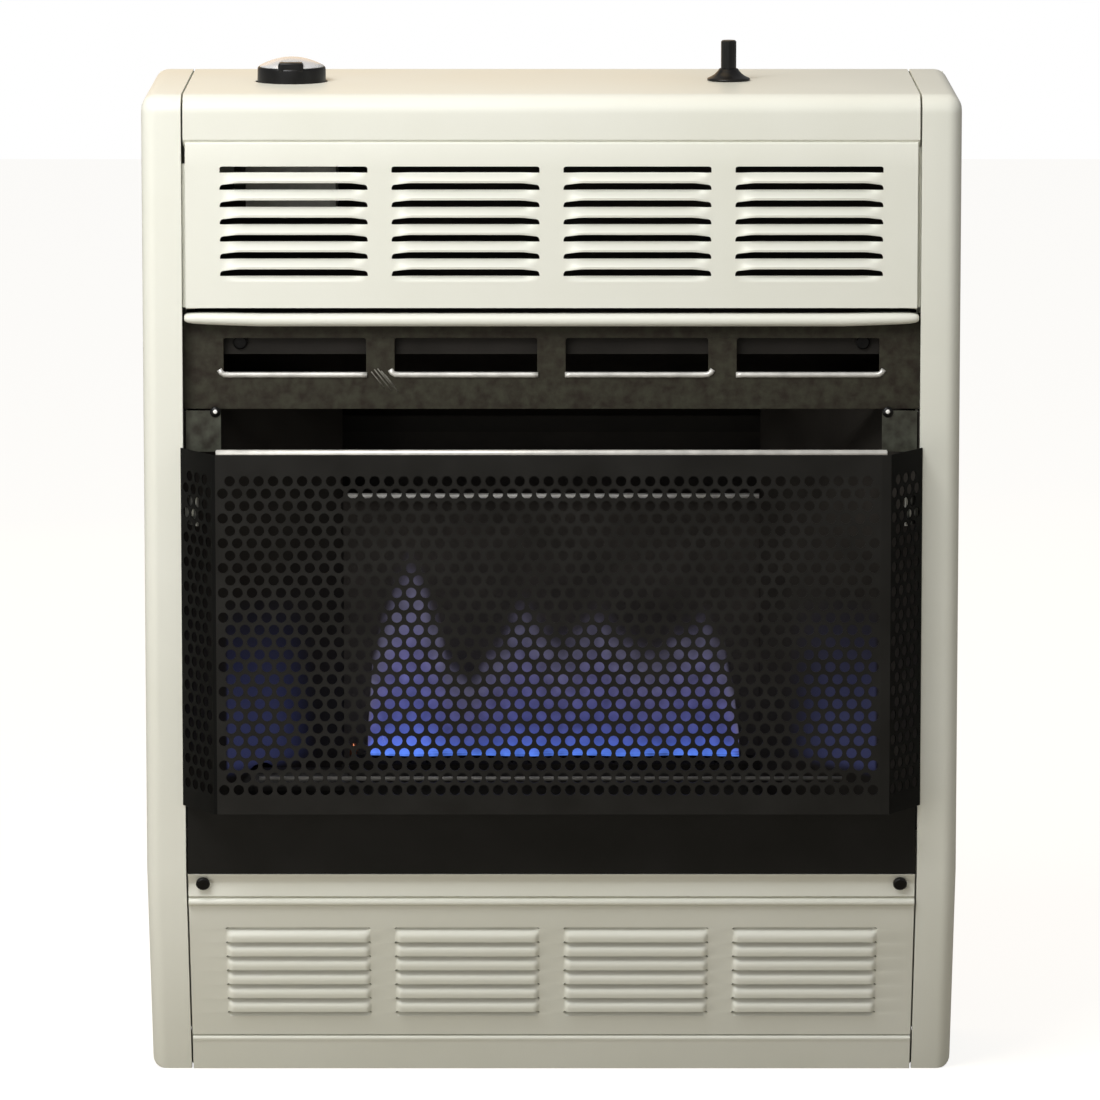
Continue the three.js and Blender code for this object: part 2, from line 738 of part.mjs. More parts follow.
function guard() {
  const outside = polygon([
    [-wingHalf(fit, 0), frontY - fit],
    [-guardFrontHalf, frontY - guardStandOff],
    [guardFrontHalf, frontY - guardStandOff],
    [wingHalf(fit, 0), frontY - fit],
  ]);
  const inside = polygon([
    [-wingHalf(-overrun, sheet), frontY + overrun],
    [-wingHalf(guardStandOff - sheet, sheet), frontY - guardStandOff + sheet],
    [wingHalf(guardStandOff - sheet, sheet), frontY - guardStandOff + sheet],
    [wingHalf(-overrun, sheet), frontY + overrun],
  ]);
  const zs = [guardLow, guardTop];
  const hemYs = [frontY - guardStandOff, frontY - guardStandOff + guardHem];
  const hemHalf = guardFrontHalf - sheet / 2;
  return prismZ(outside, zs)
    .subtract(prismZ(inside, [guardLow - overrun, guardTop + overrun]))
    .add(block([-hemHalf, hemHalf], hemYs, [guardTop - guardHem, guardTop]))
    .add(block([-hemHalf, hemHalf], hemYs, [guardLow, guardLow + guardHem]))
    .subtract(guardHoles());
}

// Guard clips: a strap from the firebox opening's edge along the inside of each wing
const clipDrop = 32.4;
const clipHeight = 20;
const clipHigh = guardTop - clipDrop;
const clipLow = clipHigh - clipHeight;
const clipBack = 5;
const clipForward = 14;

function guardClip(side) {
  const inset = sheet + fit;
  const edge = openingHalf - seam;
  const turnAt = ((wingHalf(0, inset) - edge) * guardStandOff) / wingRun;
  const line = [
    [side * edge, behind(clipBack)],
    [side * edge, frontY - turnAt],
    [side * wingHalf(clipForward, inset), frontY - clipForward],
  ];
  return prismZ(folded(line, -side * sheet), [clipLow, clipHigh]);
}

add(firebox, "hood", hood(), "black");
add(firebox, "heat_deflector", heatDeflector(), "black");
add(firebox, "firebox_left_wall", fireboxWall(-1), "black");
add(firebox, "firebox_right_wall", fireboxWall(1), "black");
add(firebox, "firebox_back_wall", fireboxBackWall(), "black");
add(firebox, "firebox_floor", fireboxFloorPlate(), "black");
add(firebox, "front_skirt", frontSkirt(), "black");
add(firebox, "guard", guard(), "guardBlack");
add(firebox, "guard_clip_left", guardClip(-1), "galvanised");
add(firebox, "guard_clip_right", guardClip(1), "galvanised");
addScrew(firebox, "hood_screw_left", [-hoodScrewX, behind(deflectorFront) - fit, hoodScrewZ]);
addScrew(firebox, "hood_screw_right", [hoodScrewX, behind(deflectorFront) - fit, hoodScrewZ]);

// Burner: an open steel tray on two hat brackets, a slotted port plate over it and a mixer tube at its left
const burnerEndGap = 3.5;
const trayRise = 8;
const portPlateHeight = 4.2;
const traySide = 1.6;
const portMargin = 18;
const portSlotLength = 22;
const portSlot = 1.8;
const portPitch = 11.4;
const burnerHalf = fireboxBackHalf - burnerEndGap;
const trayLow = fireboxFloor + trayRise;
const portCount = Math.floor((2 * (burnerHalf - portMargin)) / portPitch) + 1;
const trayTop = burnerTop - portPlateHeight - fit;
const burnerYs = [behind(burnerDepth - burnerWidth / 2), behind(burnerDepth + burnerWidth / 2)];
const burnerXs = [burnerX - burnerHalf, burnerX + burnerHalf];
const mixerBore = mixerRadius - traySide;

function burnerTray() {
  const insideXs = [burnerXs[0] + traySide, burnerXs[1] - traySide];
  const insideYs = [burnerYs[0] + traySide, burnerYs[1] - traySide];
  const inletXs = [burnerXs[0] - overrun, burnerXs[0] + overrun];
  return block(burnerXs, burnerYs, [trayLow, trayTop])
    .subtract(block(insideXs, insideYs, [trayLow + traySide, trayTop + overrun]))
    .subtract(rodX(mixerBore, behind(burnerDepth), mixerZ, inletXs));
}

function portPlate() {
  const slots = [];
  const slotYs = [behind(burnerDepth - portSlotLength / 2), behind(burnerDepth + portSlotLength / 2)];
  const slotZs = [trayTop - overrun, burnerTop + overrun];
  for (let port = 0; port < portCount; port += 1) {
    const x = burnerX + (port - (portCount - 1) / 2) * portPitch;
    slots.push(blockGeometry([x - portSlot / 2, x + portSlot / 2], slotYs, slotZs));
  }
  return block(burnerXs, burnerYs, [trayTop + fit, burnerTop]).subtract(together(slots));
}

const bracketWidth = 14;
const bracketInset = 26;

function burnerBracket(side) {
  const top = trayLow - fit;
  const [front, back] = burnerYs;
  const line = [
    [front - bracketFoot, floorTop + fit + sheet],
    [front, floorTop + fit + sheet],
    [front, top],
    [back, top],
    [back, floorTop + fit + sheet],
    [back + bracketFoot, floorTop + fit + sheet],
  ];
  const x = burnerX + side * (burnerHalf - bracketInset);
  return prismX(folded(line, -sheet), [x - bracketWidth / 2, x + bracketWidth / 2]);
}

const bellLength = 12;
const bellOutside = 16.8;
const bellX = wallAtBurner - bellOutside;
const mixerLength = burnerXs[0] - fit - bellX;

function mixerTube() {
  const wall = mixerRadius - mixerBore;
  return turned([
    [mixerBore, mixerLength],
    [mixerRadius, mixerLength],
    [mixerRadius, bellLength],
    [bellRadius, 0],
    [bellRadius - wall, 0],
    [mixerBore, bellLength],
    [mixerBore, mixerLength],
  ]);
}

// Gas orifice and its holder, clamped through an upright bracket on the firebox floor
const holderLength = 18;
const holderWidth = 16;
const orificeStandOff = 5;
const orificePlateX = bellX - orificeStandOff;
const orificePlate = 1.5;
const orificeNeck = 3;
const orificeHex = 5;
const orificeHexLength = 4;
const orificeTip = 2;
const orificeTipLength = 5;
const orificeBore = 0.8;
const orificeFoot = 20;
const orificePlateHalf = 13;
const orificePlateTop = mixerZ + orificeHex + orificeHex;

function orificeBracket() {
  const ys = [behind(burnerDepth - orificePlateHalf), behind(burnerDepth + orificePlateHalf)];
  const low = floorTop + fit;
  const plateXs = [orificePlateX - orificePlate, orificePlateX];
  const through = [orificePlateX - overrun, orificePlateX + overrun];
  return block(plateXs, ys, [low, orificePlateTop])
    .add(block([orificePlateX - orificeFoot, orificePlateX], ys, [low, low + orificePlate]))
    .subtract(rodX(orificeNeck + fit, behind(burnerDepth), mixerZ, through));
}

function gasOrifice() {
  const neck = orificePlate + fit;
  return turned([
    [orificeBore, 0],
    [orificeNeck, 0],
    [orificeNeck, neck],
    [orificeHex, neck],
    [orificeHex, neck + orificeHexLength],
    [orificeTip, neck + orificeHexLength + orificeTipLength],
    [orificeBore, neck + orificeHexLength + orificeTipLength],
    [orificeBore, 0],
  ], holeSides);
}

const holderRightX = orificePlateX - orificePlate - fit;
const holderXs = [holderRightX - holderLength, holderRightX];

function orificeHolder() {
  const ys = [behind(burnerDepth - holderWidth / 2), behind(burnerDepth + holderWidth / 2)];
  const zs = [mixerZ - holderWidth / 2, mixerZ + holderWidth / 2];
  return block(holderXs, ys, zs);
}

// Pilot: a bracket carrying the pilot burner, the thermocouple and the spark electrode
const pilotInset = 17.5;
const pilotSpacing = 10;
const pilotPlateRise = 22;
const pilotPlateEnd = 8.5;
const pilotPlateRear = 6;
const pilotFoot = 12;
const pilotPipe = 5.5;
const pilotCap = 8;
const pilotBore = 3.5;
const pilotBelow = 6;
const pilotShoulderRise = 7;
const pilotRise = 14;
const probeRadius = 3;
const probeBelow = 8;
const probeRise = 18;
const electrodeRadius = 3.5;
const electrodeBelow = 10;
const electrodeShoulderRise = 9;
const electrodeRise = 24;
const electrodeWire = 1.2;
const pilotX = pilotInset - fireboxBackHalf;
const probeX = pilotX - pilotSpacing;
const electrodeX = pilotX + pilotSpacing;
const pilotPlateZ = fireboxFloor + pilotPlateRise;
const pilotPlateDepths = [pilotDepth - pilotPlateFront, electrodeDepth + pilotPlateRear];
const pilotPlateXs = [probeX - pilotPlateEnd, electrodeX + pilotPlateEnd];
const pilotLow = pilotPlateZ - pilotBelow;
const probeLow = pilotPlateZ - probeBelow;
const electrodeLow = pilotPlateZ - electrodeBelow;

function pilotBracket() {
  const [left, right] = pilotPlateXs;
  const low = floorTop + fit;
  const line = [
    [right + pilotFoot, low],
    [right, low],
    [right, pilotPlateZ],
    [left, pilotPlateZ],
  ];
  const zs = [pilotPlateZ - overrun, pilotPlateZ + sheet + overrun];
  return prismY(folded(line, -sheet), pilotPlateDepths.map(behind))
    .subtract(rodZ(pilotPipe + fit, pilotX, behind(pilotDepth), zs))
    .subtract(rodZ(probeRadius + fit, probeX, behind(probeDepth), zs))
    .subtract(rodZ(electrodeRadius + fit, electrodeX, behind(electrodeDepth), zs));
}

function pilotHood() {
  return turned([
    [pilotBore, pilotLow],
    [pilotPipe, pilotLow],
    [pilotPipe, pilotPlateZ + pilotShoulderRise],
    [pilotCap, pilotPlateZ + pilotShoulderRise],
    [pilotCap, pilotPlateZ + pilotRise],
    [pilotBore, pilotPlateZ + pilotRise],
    [pilotBore, pilotLow],
  ], holeSides);
}

function thermocoupleProbe() {
  const probeHigh = pilotPlateZ + probeRise;
  return turned([
    [0, probeLow],
    [probeRadius, probeLow],
    [probeRadius, probeHigh - probeRadius],
    [probeRadius / 2, probeHigh],
    [0, probeHigh],
  ], holeSides);
}

function sparkElectrode() {
  const electrodeShoulder = pilotPlateZ + electrodeShoulderRise;
  const electrodeHigh = pilotPlateZ + electrodeRise;
  return turned([
    [0, electrodeLow],
    [electrodeRadius, electrodeLow],
    [electrodeRadius, electrodeShoulder],
    [electrodeWire, electrodeShoulder],
    [electrodeWire, electrodeHigh],
    [0, electrodeHigh],
  ], holeSides);
}

add(burner, "burner_tray", burnerTray(), "burnerSteel");
add(burner, "burner_port_plate", portPlate(), "burnerSteel");
add(burner, "burner_bracket_left", burnerBracket(-1), "galvanised");
add(burner, "burner_bracket_right", burnerBracket(1), "galvanised");
const burnerLine = new THREE.Group();
burnerLine.position.set(0, behind(burnerDepth), mixerZ);
burnerLine.rotation.y = Math.PI / 2;
burner.add(burnerLine);
add(burnerLine, "mixer_tube", mixerTube(), "burnerSteel", [0, 0, bellX]);
add(burnerLine, "gas_orifice", gasOrifice(), "brass", [0, 0, orificePlateX - orificePlate]);
add(burner, "orifice_bracket", orificeBracket(), "galvanised");
add(burner, "orifice_holder", orificeHolder(), "brass");
add(burner, "pilot_bracket", pilotBracket(), "galvanised");
add(burner, "pilot_hood", pilotHood(), "burnerSteel", [pilotX, behind(pilotDepth), 0]);
add(burner, "thermocouple_probe", thermocoupleProbe(), "copper", [probeX, behind(probeDepth), 0]);
add(burner, "spark_electrode", sparkElectrode(), "ceramic", [electrodeX, behind(electrodeDepth), 0]);

// Gas valve with its thermostat head and stem boss, hung from a bracket on the back panel under the knob
const valveWidth = 60;
const valveDrop = 40;
const valveHeight = 45;
const headRadius = 22;
const headHeight = 5;
const bossRadius = 8;
const bossHeight = 8;
const stemRadius = 4;
const stemFoot = 1;
const stemTravel = 4;
const gasPort = 8;
const smallPort = 5;
const portDrop = 23;
const capillaryPortInset = 13.4;
const valveHigh = casingHeight - valveDrop;
const valveLow = valveHigh - valveHeight;
const stemLow = valveHigh + stemFoot;
const portZ = valveHigh - portDrop;
const capillaryPortX = knobX - capillaryPortInset;
const valveXs = [knobX - valveWidth / 2, knobX + valveWidth / 2];
const valveYs = [behind(knobDepth - valveDepth / 2), behind(knobDepth + valveDepth / 2)];
const portX = valveXs[0] - portLength;
const headTop = valveHigh + headHeight;

function gasValveBody() {
  const portXs = [portX, valveXs[0] + overrun];
  const backPortYs = [valveYs[1] - overrun, valveYs[1] + portLength];
  let body = block(valveXs, valveYs, [valveLow, valveHigh])
    .add(rodZ(headRadius, knobX, behind(knobDepth), [valveHigh - overrun, headTop], turnedSides))
    .add(rodZ(bossRadius, knobX, behind(knobDepth), [valveHigh, headTop + bossHeight]))
    .add(rodY(smallPort, capillaryPortX, portZ, backPortYs, hexagonSides));
  for (const lane of [burnerLane, supplyLane]) {
    body = body.add(rodX(gasPort, behind(lane), portZ, portXs, hexagonSides));
  }
  for (const lane of [pilotDepth, probeDepth]) {
    body = body.add(rodX(smallPort, behind(lane), portZ + gasPort, portXs, hexagonSides));
  }
  const boreZs = [stemLow - stemTravel - fit, headTop + bossHeight + overrun];
  return body.subtract(rodZ(stemRadius + fit, knobX, behind(knobDepth), boreZs));
}

const valveShelfReach = 41;
const valveShelfMargin = 8.5;
const valveShelfDrop = 32;
const valveShelfXs = [valveXs[0] - valveShelfMargin, valveXs[1] + valveShelfMargin];

function valveBracket() {
  const line = [
    [behind(knobDepth - valveShelfReach), headTop + fit],
    [insideBackY - fit - sheet, headTop + fit],
    [insideBackY - fit - sheet, headTop + fit - valveShelfDrop],
  ];
  const holeZs = [headTop - overrun, headTop + overrun];
  return prismX(folded(line, sheet), valveShelfXs)
    .subtract(rodZ(bossRadius + seam, knobX, behind(knobDepth), holeZs));
}

// Thermostat knob: a hollow cap with a hub on the stem, a pointer lug at its front, and a crowned silver disc
const knobSkirt = 7;
const knobTop = 9.4;
const knobEdge = 1.2;
const knobWall = 2.4;
const knobHub = 7;
const knobCeiling = 5;
const lugHalfWidth = 8.5;
const lugRise = 4.6;
const lugEdge = 1.8;
const lugInset = 0.8;
const lugBack = 9;
const discInset = 1.4;
const discEdge = 0.8;
const discCrown = 6.6;
const crownSteps = 4;
const discRadius = knobRadius - discInset;
const stemHigh = casingHeight + knobCeiling - fit;

function controlKnob() {
  const cap = turned([
    [0, knobCeiling],
    [stemRadius + fit, knobCeiling],
    [stemRadius + fit, -knobSkirt],
    [knobHub, -knobSkirt],
    [knobHub, knobCeiling],
    [knobRadius - knobWall, knobCeiling],
    [knobRadius - knobWall, -knobSkirt],
    [knobRadius, -knobSkirt],
    [knobRadius, knobTop - knobEdge],
    [knobRadius - knobEdge, knobTop],
    [0, knobTop],
  ]);
  const lug = new THREE.Shape();
  lug.moveTo(lugHalfWidth, knobCeiling);
  lug.lineTo(lugHalfWidth, knobTop + lugRise - lugEdge);
  lug.quadraticCurveTo(lugHalfWidth, knobTop + lugRise, lugHalfWidth - lugEdge, knobTop + lugRise);
  lug.lineTo(lugEdge - lugHalfWidth, knobTop + lugRise);
  lug.quadraticCurveTo(-lugHalfWidth, knobTop + lugRise, -lugHalfWidth, knobTop + lugRise - lugEdge);
  lug.lineTo(-lugHalfWidth, knobCeiling);
  const round = rodZ(knobRadius - lugInset, 0, 0, [0, knobTop + lugRise + overrun], turnedSides);
  return cap.add(prismY(lug, [-knobRadius, -lugBack]).intersect(round));
}

function knobDisc() {
  const low = knobTop + fit;
  const crown = [[0, low], [discRadius, low]];
  for (let step = 0; step <= crownSteps; step += 1) {
    const share = step / crownSteps;
    crown.push([discRadius * (1 - share), low + discEdge + (discCrown - discEdge) * share * (2 - share)]);
  }
  const notchXs = [-lugHalfWidth - fit, lugHalfWidth + fit];
  const notchYs = [-knobRadius - overrun, fit - lugBack];
  return turned(crown).subtract(block(notchXs, notchYs, [low - overrun, low + discCrown + overrun]));
}

// Push igniter: a flared collar on the top cover, the barrel below it, and the plunger through both
const collarRadius = 14.4;
const collarRim = 1.4;
const collarHeight = 7.8;
const collarNeck = 6.3;
const barrelRadius = 9;
const barrelTop = casingHeight - sheet - fit;
const barrelDrop = 57;
const plungerDrop = 31;
const plungerRise = 27;
const plungerTravel = 7;
const plungerEdge = 0.8;
const barrelLow = casingHeight - barrelDrop;
const plungerLow = casingHeight - plungerDrop;
const plungerTop = casingHeight + plungerRise;

function igniterCollar() {
  return turned([
    [buttonRadius + fit, 0],
    [collarRadius, 0],
    [collarRadius, collarRim],
    [(collarRadius + collarNeck) / 2, collarHeight / 2],
    [collarNeck, collarHeight],
    [buttonRadius + fit, collarHeight],
    [buttonRadius + fit, 0],
  ]);
}

function igniterBarrel() {
  const boreFloor = plungerLow - plungerTravel - fit;
  return turned([
    [0, barrelLow],
    [barrelRadius, barrelLow],
    [barrelRadius, barrelTop],
    [buttonRadius + fit, barrelTop],
    [buttonRadius + fit, boreFloor],
    [0, boreFloor],
  ], holeSides);
}

function igniterPlunger() {
  return turned([
    [0, plungerLow],
    [buttonRadius, plungerLow],
    [buttonRadius, plungerTop - plungerEdge],
    [buttonRadius - plungerEdge, plungerTop],
    [0, plungerTop],
  ], holeSides);
}

add(controls, "gas_valve_body", gasValveBody(), "casting");
add(controls, "valve_bracket", valveBracket(), "galvanised");
const knobAxis = new THREE.Group();
knobAxis.position.set(knobX, behind(knobDepth), casingHeight);
controls.add(knobAxis);
const stemZs = [stemLow, stemHigh];
add(controls, "valve_stem", rodZ(stemRadius, knobX, behind(knobDepth), stemZs), "casting");
add(knobAxis, "control_knob", controlKnob(), "blackPlastic");
add(knobAxis, "knob_disc", knobDisc(), "silverFoil");
const igniterAxis = new THREE.Group();
igniterAxis.position.set(igniterX, behind(igniterDepth), 0);
controls.add(igniterAxis);
add(igniterAxis, "igniter_collar", igniterCollar(), "blackPlastic", [0, 0, casingHeight + fit]);
add(igniterAxis, "igniter_barrel", igniterBarrel(), "blackPlastic");
add(igniterAxis, "igniter_plunger", igniterPlunger(), "blackPlastic");

// Pressure regulator near the floor, on a bracket that stands on the base pan, with its inlet fitting
const regulatorRadius = 30;
const regulatorBelow = 13;
const regulatorRim = 12;
const regulatorRimGap = 1.5;
const regulatorTower = 17;
const regulatorAbove = 29;
const regulatorPort = 8;
const regulatorPortReach = 38;
const inletBore = 5.5;
const inletDepth = 14;
const inletFlush = 0.5;
const regulatorFootHalf = 16;
const regulatorLegBehind = 24;
const regulatorShelf = 40;
const regulatorFoot = 16;
const regulatorLow = regulatorZ - regulatorBelow;
const regulatorHigh = regulatorZ + regulatorAbove;
const regulatorFootXs = [regulatorX - regulatorFootHalf, regulatorX + regulatorFootHalf];
const regulatorLegDepth = regulatorDepth + regulatorLegBehind;

function regulator() {
  const y = behind(regulatorDepth);
  const bodyZs = [regulatorLow, regulatorZ + regulatorPort + regulatorRim];
  const rimLow = regulatorZ + regulatorPort + regulatorRimGap;
  const rimZs = [rimLow, rimLow + regulatorRim / 2];
  const shell = regulatorRadius - regulatorRim / 2;
  return rodZ(shell, regulatorX, y, bodyZs, turnedSides)
    .add(rodZ(regulatorRadius, regulatorX, y, rimZs, turnedSides))
    .add(rodZ(regulatorTower, regulatorX, y, [regulatorLow + overrun, regulatorHigh]))
    .add(rodX(regulatorPort, y, regulatorZ, [regulatorX - regulatorPortReach, regulatorX], hexagonSides))
    .add(rodY(regulatorPort, regulatorX, regulatorZ, [y, y + regulatorPortReach], hexagonSides));
}

function regulatorBracket() {
  const low = sheet + fit;
  const line = [
    [behind(regulatorLegDepth + regulatorFoot), low + sheet],
    [behind(regulatorLegDepth), low + sheet],
    [behind(regulatorLegDepth), regulatorLow - fit],
    [behind(regulatorLegDepth - regulatorShelf), regulatorLow - fit],
  ];
  return prismX(folded(line, sheet), regulatorFootXs);
}

function inletFitting() {
  const from = behind(regulatorDepth) + regulatorPortReach + fit;
  const to = backY - inletFlush;
  return rodY(inletRadius, regulatorX, regulatorZ, [from, to], turnedSides)
    .subtract(rodY(inletBore, regulatorX, regulatorZ, [to - inletDepth, to + overrun]));
}

// Thermostat bulb across the lower back, in a clip on the back panel
const bulbRadius = 5;
const bulbLength = 90;
const bulbInset = 7;
const bulbToBack = 18;
const bulbZ = 140;
const clipWall = 1.6;
const bulbClipShare = 0.5;
const bulbClipWidth = 12;
const bulbClipFoot = 11;
const bulbLeft = bulbInset - openingHalf;
const bulbDepth = casingDepth - bulbToBack;
const bulbClipX = bulbLeft + bulbClipShare * bulbLength;

function bulb() {
  return turned([
    [0, 0],
    [bulbRadius / 2, 0],
    [bulbRadius, bulbRadius],
    [bulbRadius, bulbLength - bulbRadius],
    [bulbRadius / 2, bulbLength],
    [0, bulbLength],
  ], holeSides);
}

function bulbClip() {
  const xs = [bulbClipX - bulbClipWidth / 2, bulbClipX + bulbClipWidth / 2];
  const ring = bulbRadius + fit + clipWall;
  const legYs = [behind(bulbDepth) + bulbRadius, insideBackY - fit];
  const footYs = [insideBackY - fit - clipWall, insideBackY - fit];
  return rodX(ring, behind(bulbDepth), bulbZ, xs)
    .add(block(xs, legYs, [bulbZ - clipWall / 2, bulbZ + clipWall / 2]))
    .add(block(xs, footYs, [bulbZ - bulbClipFoot, bulbZ + bulbClipFoot]))
    .subtract(rodX(bulbRadius + fit, behind(bulbDepth), bulbZ, [xs[0] - overrun, xs[1] + overrun]));
}

add(pipework, "pressure_regulator", regulator(), "casting");
add(pipework, "regulator_bracket", regulatorBracket(), "galvanised");
add(pipework, "gas_inlet_fitting", inletFitting(), "brass");
const bulbLine = new THREE.Group();
bulbLine.position.set(bulbLeft, behind(bulbDepth), bulbZ);
bulbLine.rotation.y = Math.PI / 2;
pipework.add(bulbLine);
add(bulbLine, "thermostat_bulb", bulb(), "copper");
add(pipework, "bulb_clip", bulbClip(), "galvanised");

// Pipes and leads, each on its own lane in the gap between the heat deflector and the left side panel
const supplyPipe = 4.8;
const burnerPipe = 4;
const pilotPipeRadius = 2.4;
const probeLead = 1.6;
const capillary = 1.3;
const ignitionLead = 2;
const pipeBend = 20;
const leadBend = 12;
const pipeStep = 18;
const leadStep = 17;
const leadRise = 6.5;
const leadRunDrop = 27;
const leadShift = 50;
const supplyShift = 32;
const leadZ = fireboxFloor + leadRise;
const leadRunZ = valveLow - leadRunDrop;
const corridorX = -(insideHalf + deflectorHalf) / 2;
const start = portX - fit;

function lane(depth, x, z) {
  return [x, behind(depth), z];
}

const supplyRoute = [
  lane(supplyLane, start, portZ),
  lane(supplyLane, corridorX, portZ),
  lane(supplyLane, corridorX, regulatorZ + supplyShift),
  lane(regulatorDepth, corridorX, regulatorZ),
  lane(regulatorDepth, regulatorX - regulatorPortReach - fit, regulatorZ),
];
const burnerRoute = [
  lane(burnerLane, start, portZ),
  lane(burnerLane, corridorX, portZ),
  lane(burnerLane, corridorX, mixerZ),
  lane(burnerDepth, corridorX, mixerZ),
  lane(burnerDepth, holderXs[0] - fit, mixerZ),
];
const pilotRoute = [
  lane(pilotDepth, start, portZ + gasPort),
  lane(pilotDepth, corridorX, portZ + gasPort),
  lane(pilotDepth, corridorX, leadZ),
  lane(pilotDepth, pilotX, leadZ),
  lane(pilotDepth, pilotX, pilotLow - fit),
];
const probeRoute = [
  lane(probeDepth, start, portZ + gasPort),
  lane(probeDepth, corridorX, portZ + gasPort),
  lane(probeDepth, corridorX, leadZ),
  lane(probeDepth, probeX, leadZ),
  lane(probeDepth, probeX, probeLow - fit),
];
const ignitionRoute = [
  lane(igniterDepth, igniterX, barrelLow - fit),
  lane(igniterDepth, igniterX, leadRunZ),
  lane(electrodeDepth, igniterX - leadShift, leadRunZ),
  lane(electrodeDepth, corridorX, leadRunZ),
  lane(electrodeDepth, corridorX, leadZ),
  lane(electrodeDepth, electrodeX, leadZ),
  lane(electrodeDepth, electrodeX, electrodeLow - fit),
];
const capillaryRoute = [
  [capillaryPortX, valveYs[1] + portLength + fit, portZ],
  lane(capillaryLane, capillaryPortX, portZ),
  lane(capillaryLane, corridorX, portZ),
  lane(capillaryLane, corridorX, bulbZ),
  lane(bulbDepth, corridorX, bulbZ),
  lane(bulbDepth, bulbLeft - fit, bulbZ),
];

add(pipework, "supply_pipe", pipe(supplyRoute, supplyPipe, pipeBend, pipeStep), "aluminiumTube");
add(pipework, "burner_pipe", pipe(burnerRoute, burnerPipe, pipeBend, pipeStep), "aluminiumTube");
add(pipework, "pilot_pipe", pipe(pilotRoute, pilotPipeRadius, leadBend, leadStep), "aluminiumTube");
add(pipework, "thermocouple_lead", pipe(probeRoute, probeLead, leadBend, leadStep), "copper");
add(pipework, "capillary_tube", pipe(capillaryRoute, capillary, leadBend, leadStep), "copper");
add(controls, "ignition_lead", pipe(ignitionRoute, ignitionLead, leadBend, leadStep), "leadSleeve");

export default heater;
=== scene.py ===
import json
import math

import bmesh
import bpy
from mathutils import Matrix, Vector

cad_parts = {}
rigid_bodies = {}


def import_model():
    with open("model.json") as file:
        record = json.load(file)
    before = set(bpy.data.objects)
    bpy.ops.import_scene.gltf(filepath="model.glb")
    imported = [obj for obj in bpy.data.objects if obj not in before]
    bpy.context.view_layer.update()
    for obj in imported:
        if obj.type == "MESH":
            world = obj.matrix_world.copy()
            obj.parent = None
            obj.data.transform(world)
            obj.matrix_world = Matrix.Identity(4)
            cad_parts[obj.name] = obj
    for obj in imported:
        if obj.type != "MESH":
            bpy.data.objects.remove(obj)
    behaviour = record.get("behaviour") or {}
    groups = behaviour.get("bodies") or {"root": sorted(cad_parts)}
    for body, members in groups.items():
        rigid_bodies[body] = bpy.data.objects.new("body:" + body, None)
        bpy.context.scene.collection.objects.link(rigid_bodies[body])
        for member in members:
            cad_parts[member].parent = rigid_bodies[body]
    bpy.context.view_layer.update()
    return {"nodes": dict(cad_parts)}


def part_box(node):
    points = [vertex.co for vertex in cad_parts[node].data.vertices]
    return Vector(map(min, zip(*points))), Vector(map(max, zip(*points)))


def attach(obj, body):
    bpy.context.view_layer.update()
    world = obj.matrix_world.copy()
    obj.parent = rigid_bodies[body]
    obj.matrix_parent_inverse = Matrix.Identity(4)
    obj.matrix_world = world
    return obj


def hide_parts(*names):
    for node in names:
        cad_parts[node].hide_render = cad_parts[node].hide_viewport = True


for leftover in list(bpy.data.objects):
    bpy.data.objects.remove(leftover)
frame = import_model()

# The photograph was taken from about five metres with a long lens, level with the room and a little above
# the heater, looking down by 8.8 degrees.
look_down = math.radians(8.8)
lens = bpy.data.cameras.new("photo_camera")
lens.lens = 250
lens.sensor_width = 36
camera = bpy.data.objects.new("photo_camera", lens)
camera.location = (-0.001, -5.0775, 1.139)
camera.rotation_euler = (math.radians(90) - look_down, 0, 0)
bpy.context.collection.objects.link(camera)
bpy.context.scene.camera = camera
bpy.context.scene.view_settings.view_transform = "Standard"

# Pale studio floor. It shows as white to the camera and in reflections, and still takes the heater's
# shadow, because its white is part diffuse and part its own glow.
floor_paper = bpy.data.materials.new("floor_paper")
floor_paper.use_nodes = True
paper = floor_paper.node_tree
paper.nodes.clear()
paper_diffuse = paper.nodes.new("ShaderNodeBsdfDiffuse")
paper_diffuse.inputs["Color"].default_value = (0.33, 0.30, 0.24, 1)
paper_glow = paper.nodes.new("ShaderNodeEmission")
paper_rays = paper.nodes.new("ShaderNodeLightPath")
paper_seen = paper.nodes.new("ShaderNodeMath")
paper_seen.operation = "MAXIMUM"
paper_level = paper.nodes.new("ShaderNodeMath")
paper_level.operation = "MULTIPLY"
paper_level.inputs[1].default_value = 0.85
paper_sum = paper.nodes.new("ShaderNodeAddShader")
paper_out = paper.nodes.new("ShaderNodeOutputMaterial")
paper.links.new(paper_rays.outputs["Is Camera Ray"], paper_seen.inputs[0])
paper.links.new(paper_rays.outputs["Is Transmission Ray"], paper_seen.inputs[1])
paper.links.new(paper_seen.outputs[0], paper_level.inputs[0])
paper.links.new(paper_level.outputs[0], paper_glow.inputs["Strength"])
paper.links.new(paper_diffuse.outputs[0], paper_sum.inputs[0])
paper.links.new(paper_glow.outputs[0], paper_sum.inputs[1])
paper.links.new(paper_sum.outputs[0], paper_out.inputs["Surface"])
floor_form = bmesh.new()
bmesh.ops.create_grid(floor_form, x_segments=8, y_segments=8, size=6)
floor_mesh = bpy.data.meshes.new("studio_floor")
floor_form.to_mesh(floor_mesh)
floor_form.free()
floor_mesh.materials.append(floor_paper)
studio_floor = bpy.data.objects.new("studio_floor", floor_mesh)
bpy.context.collection.objects.link(studio_floor)

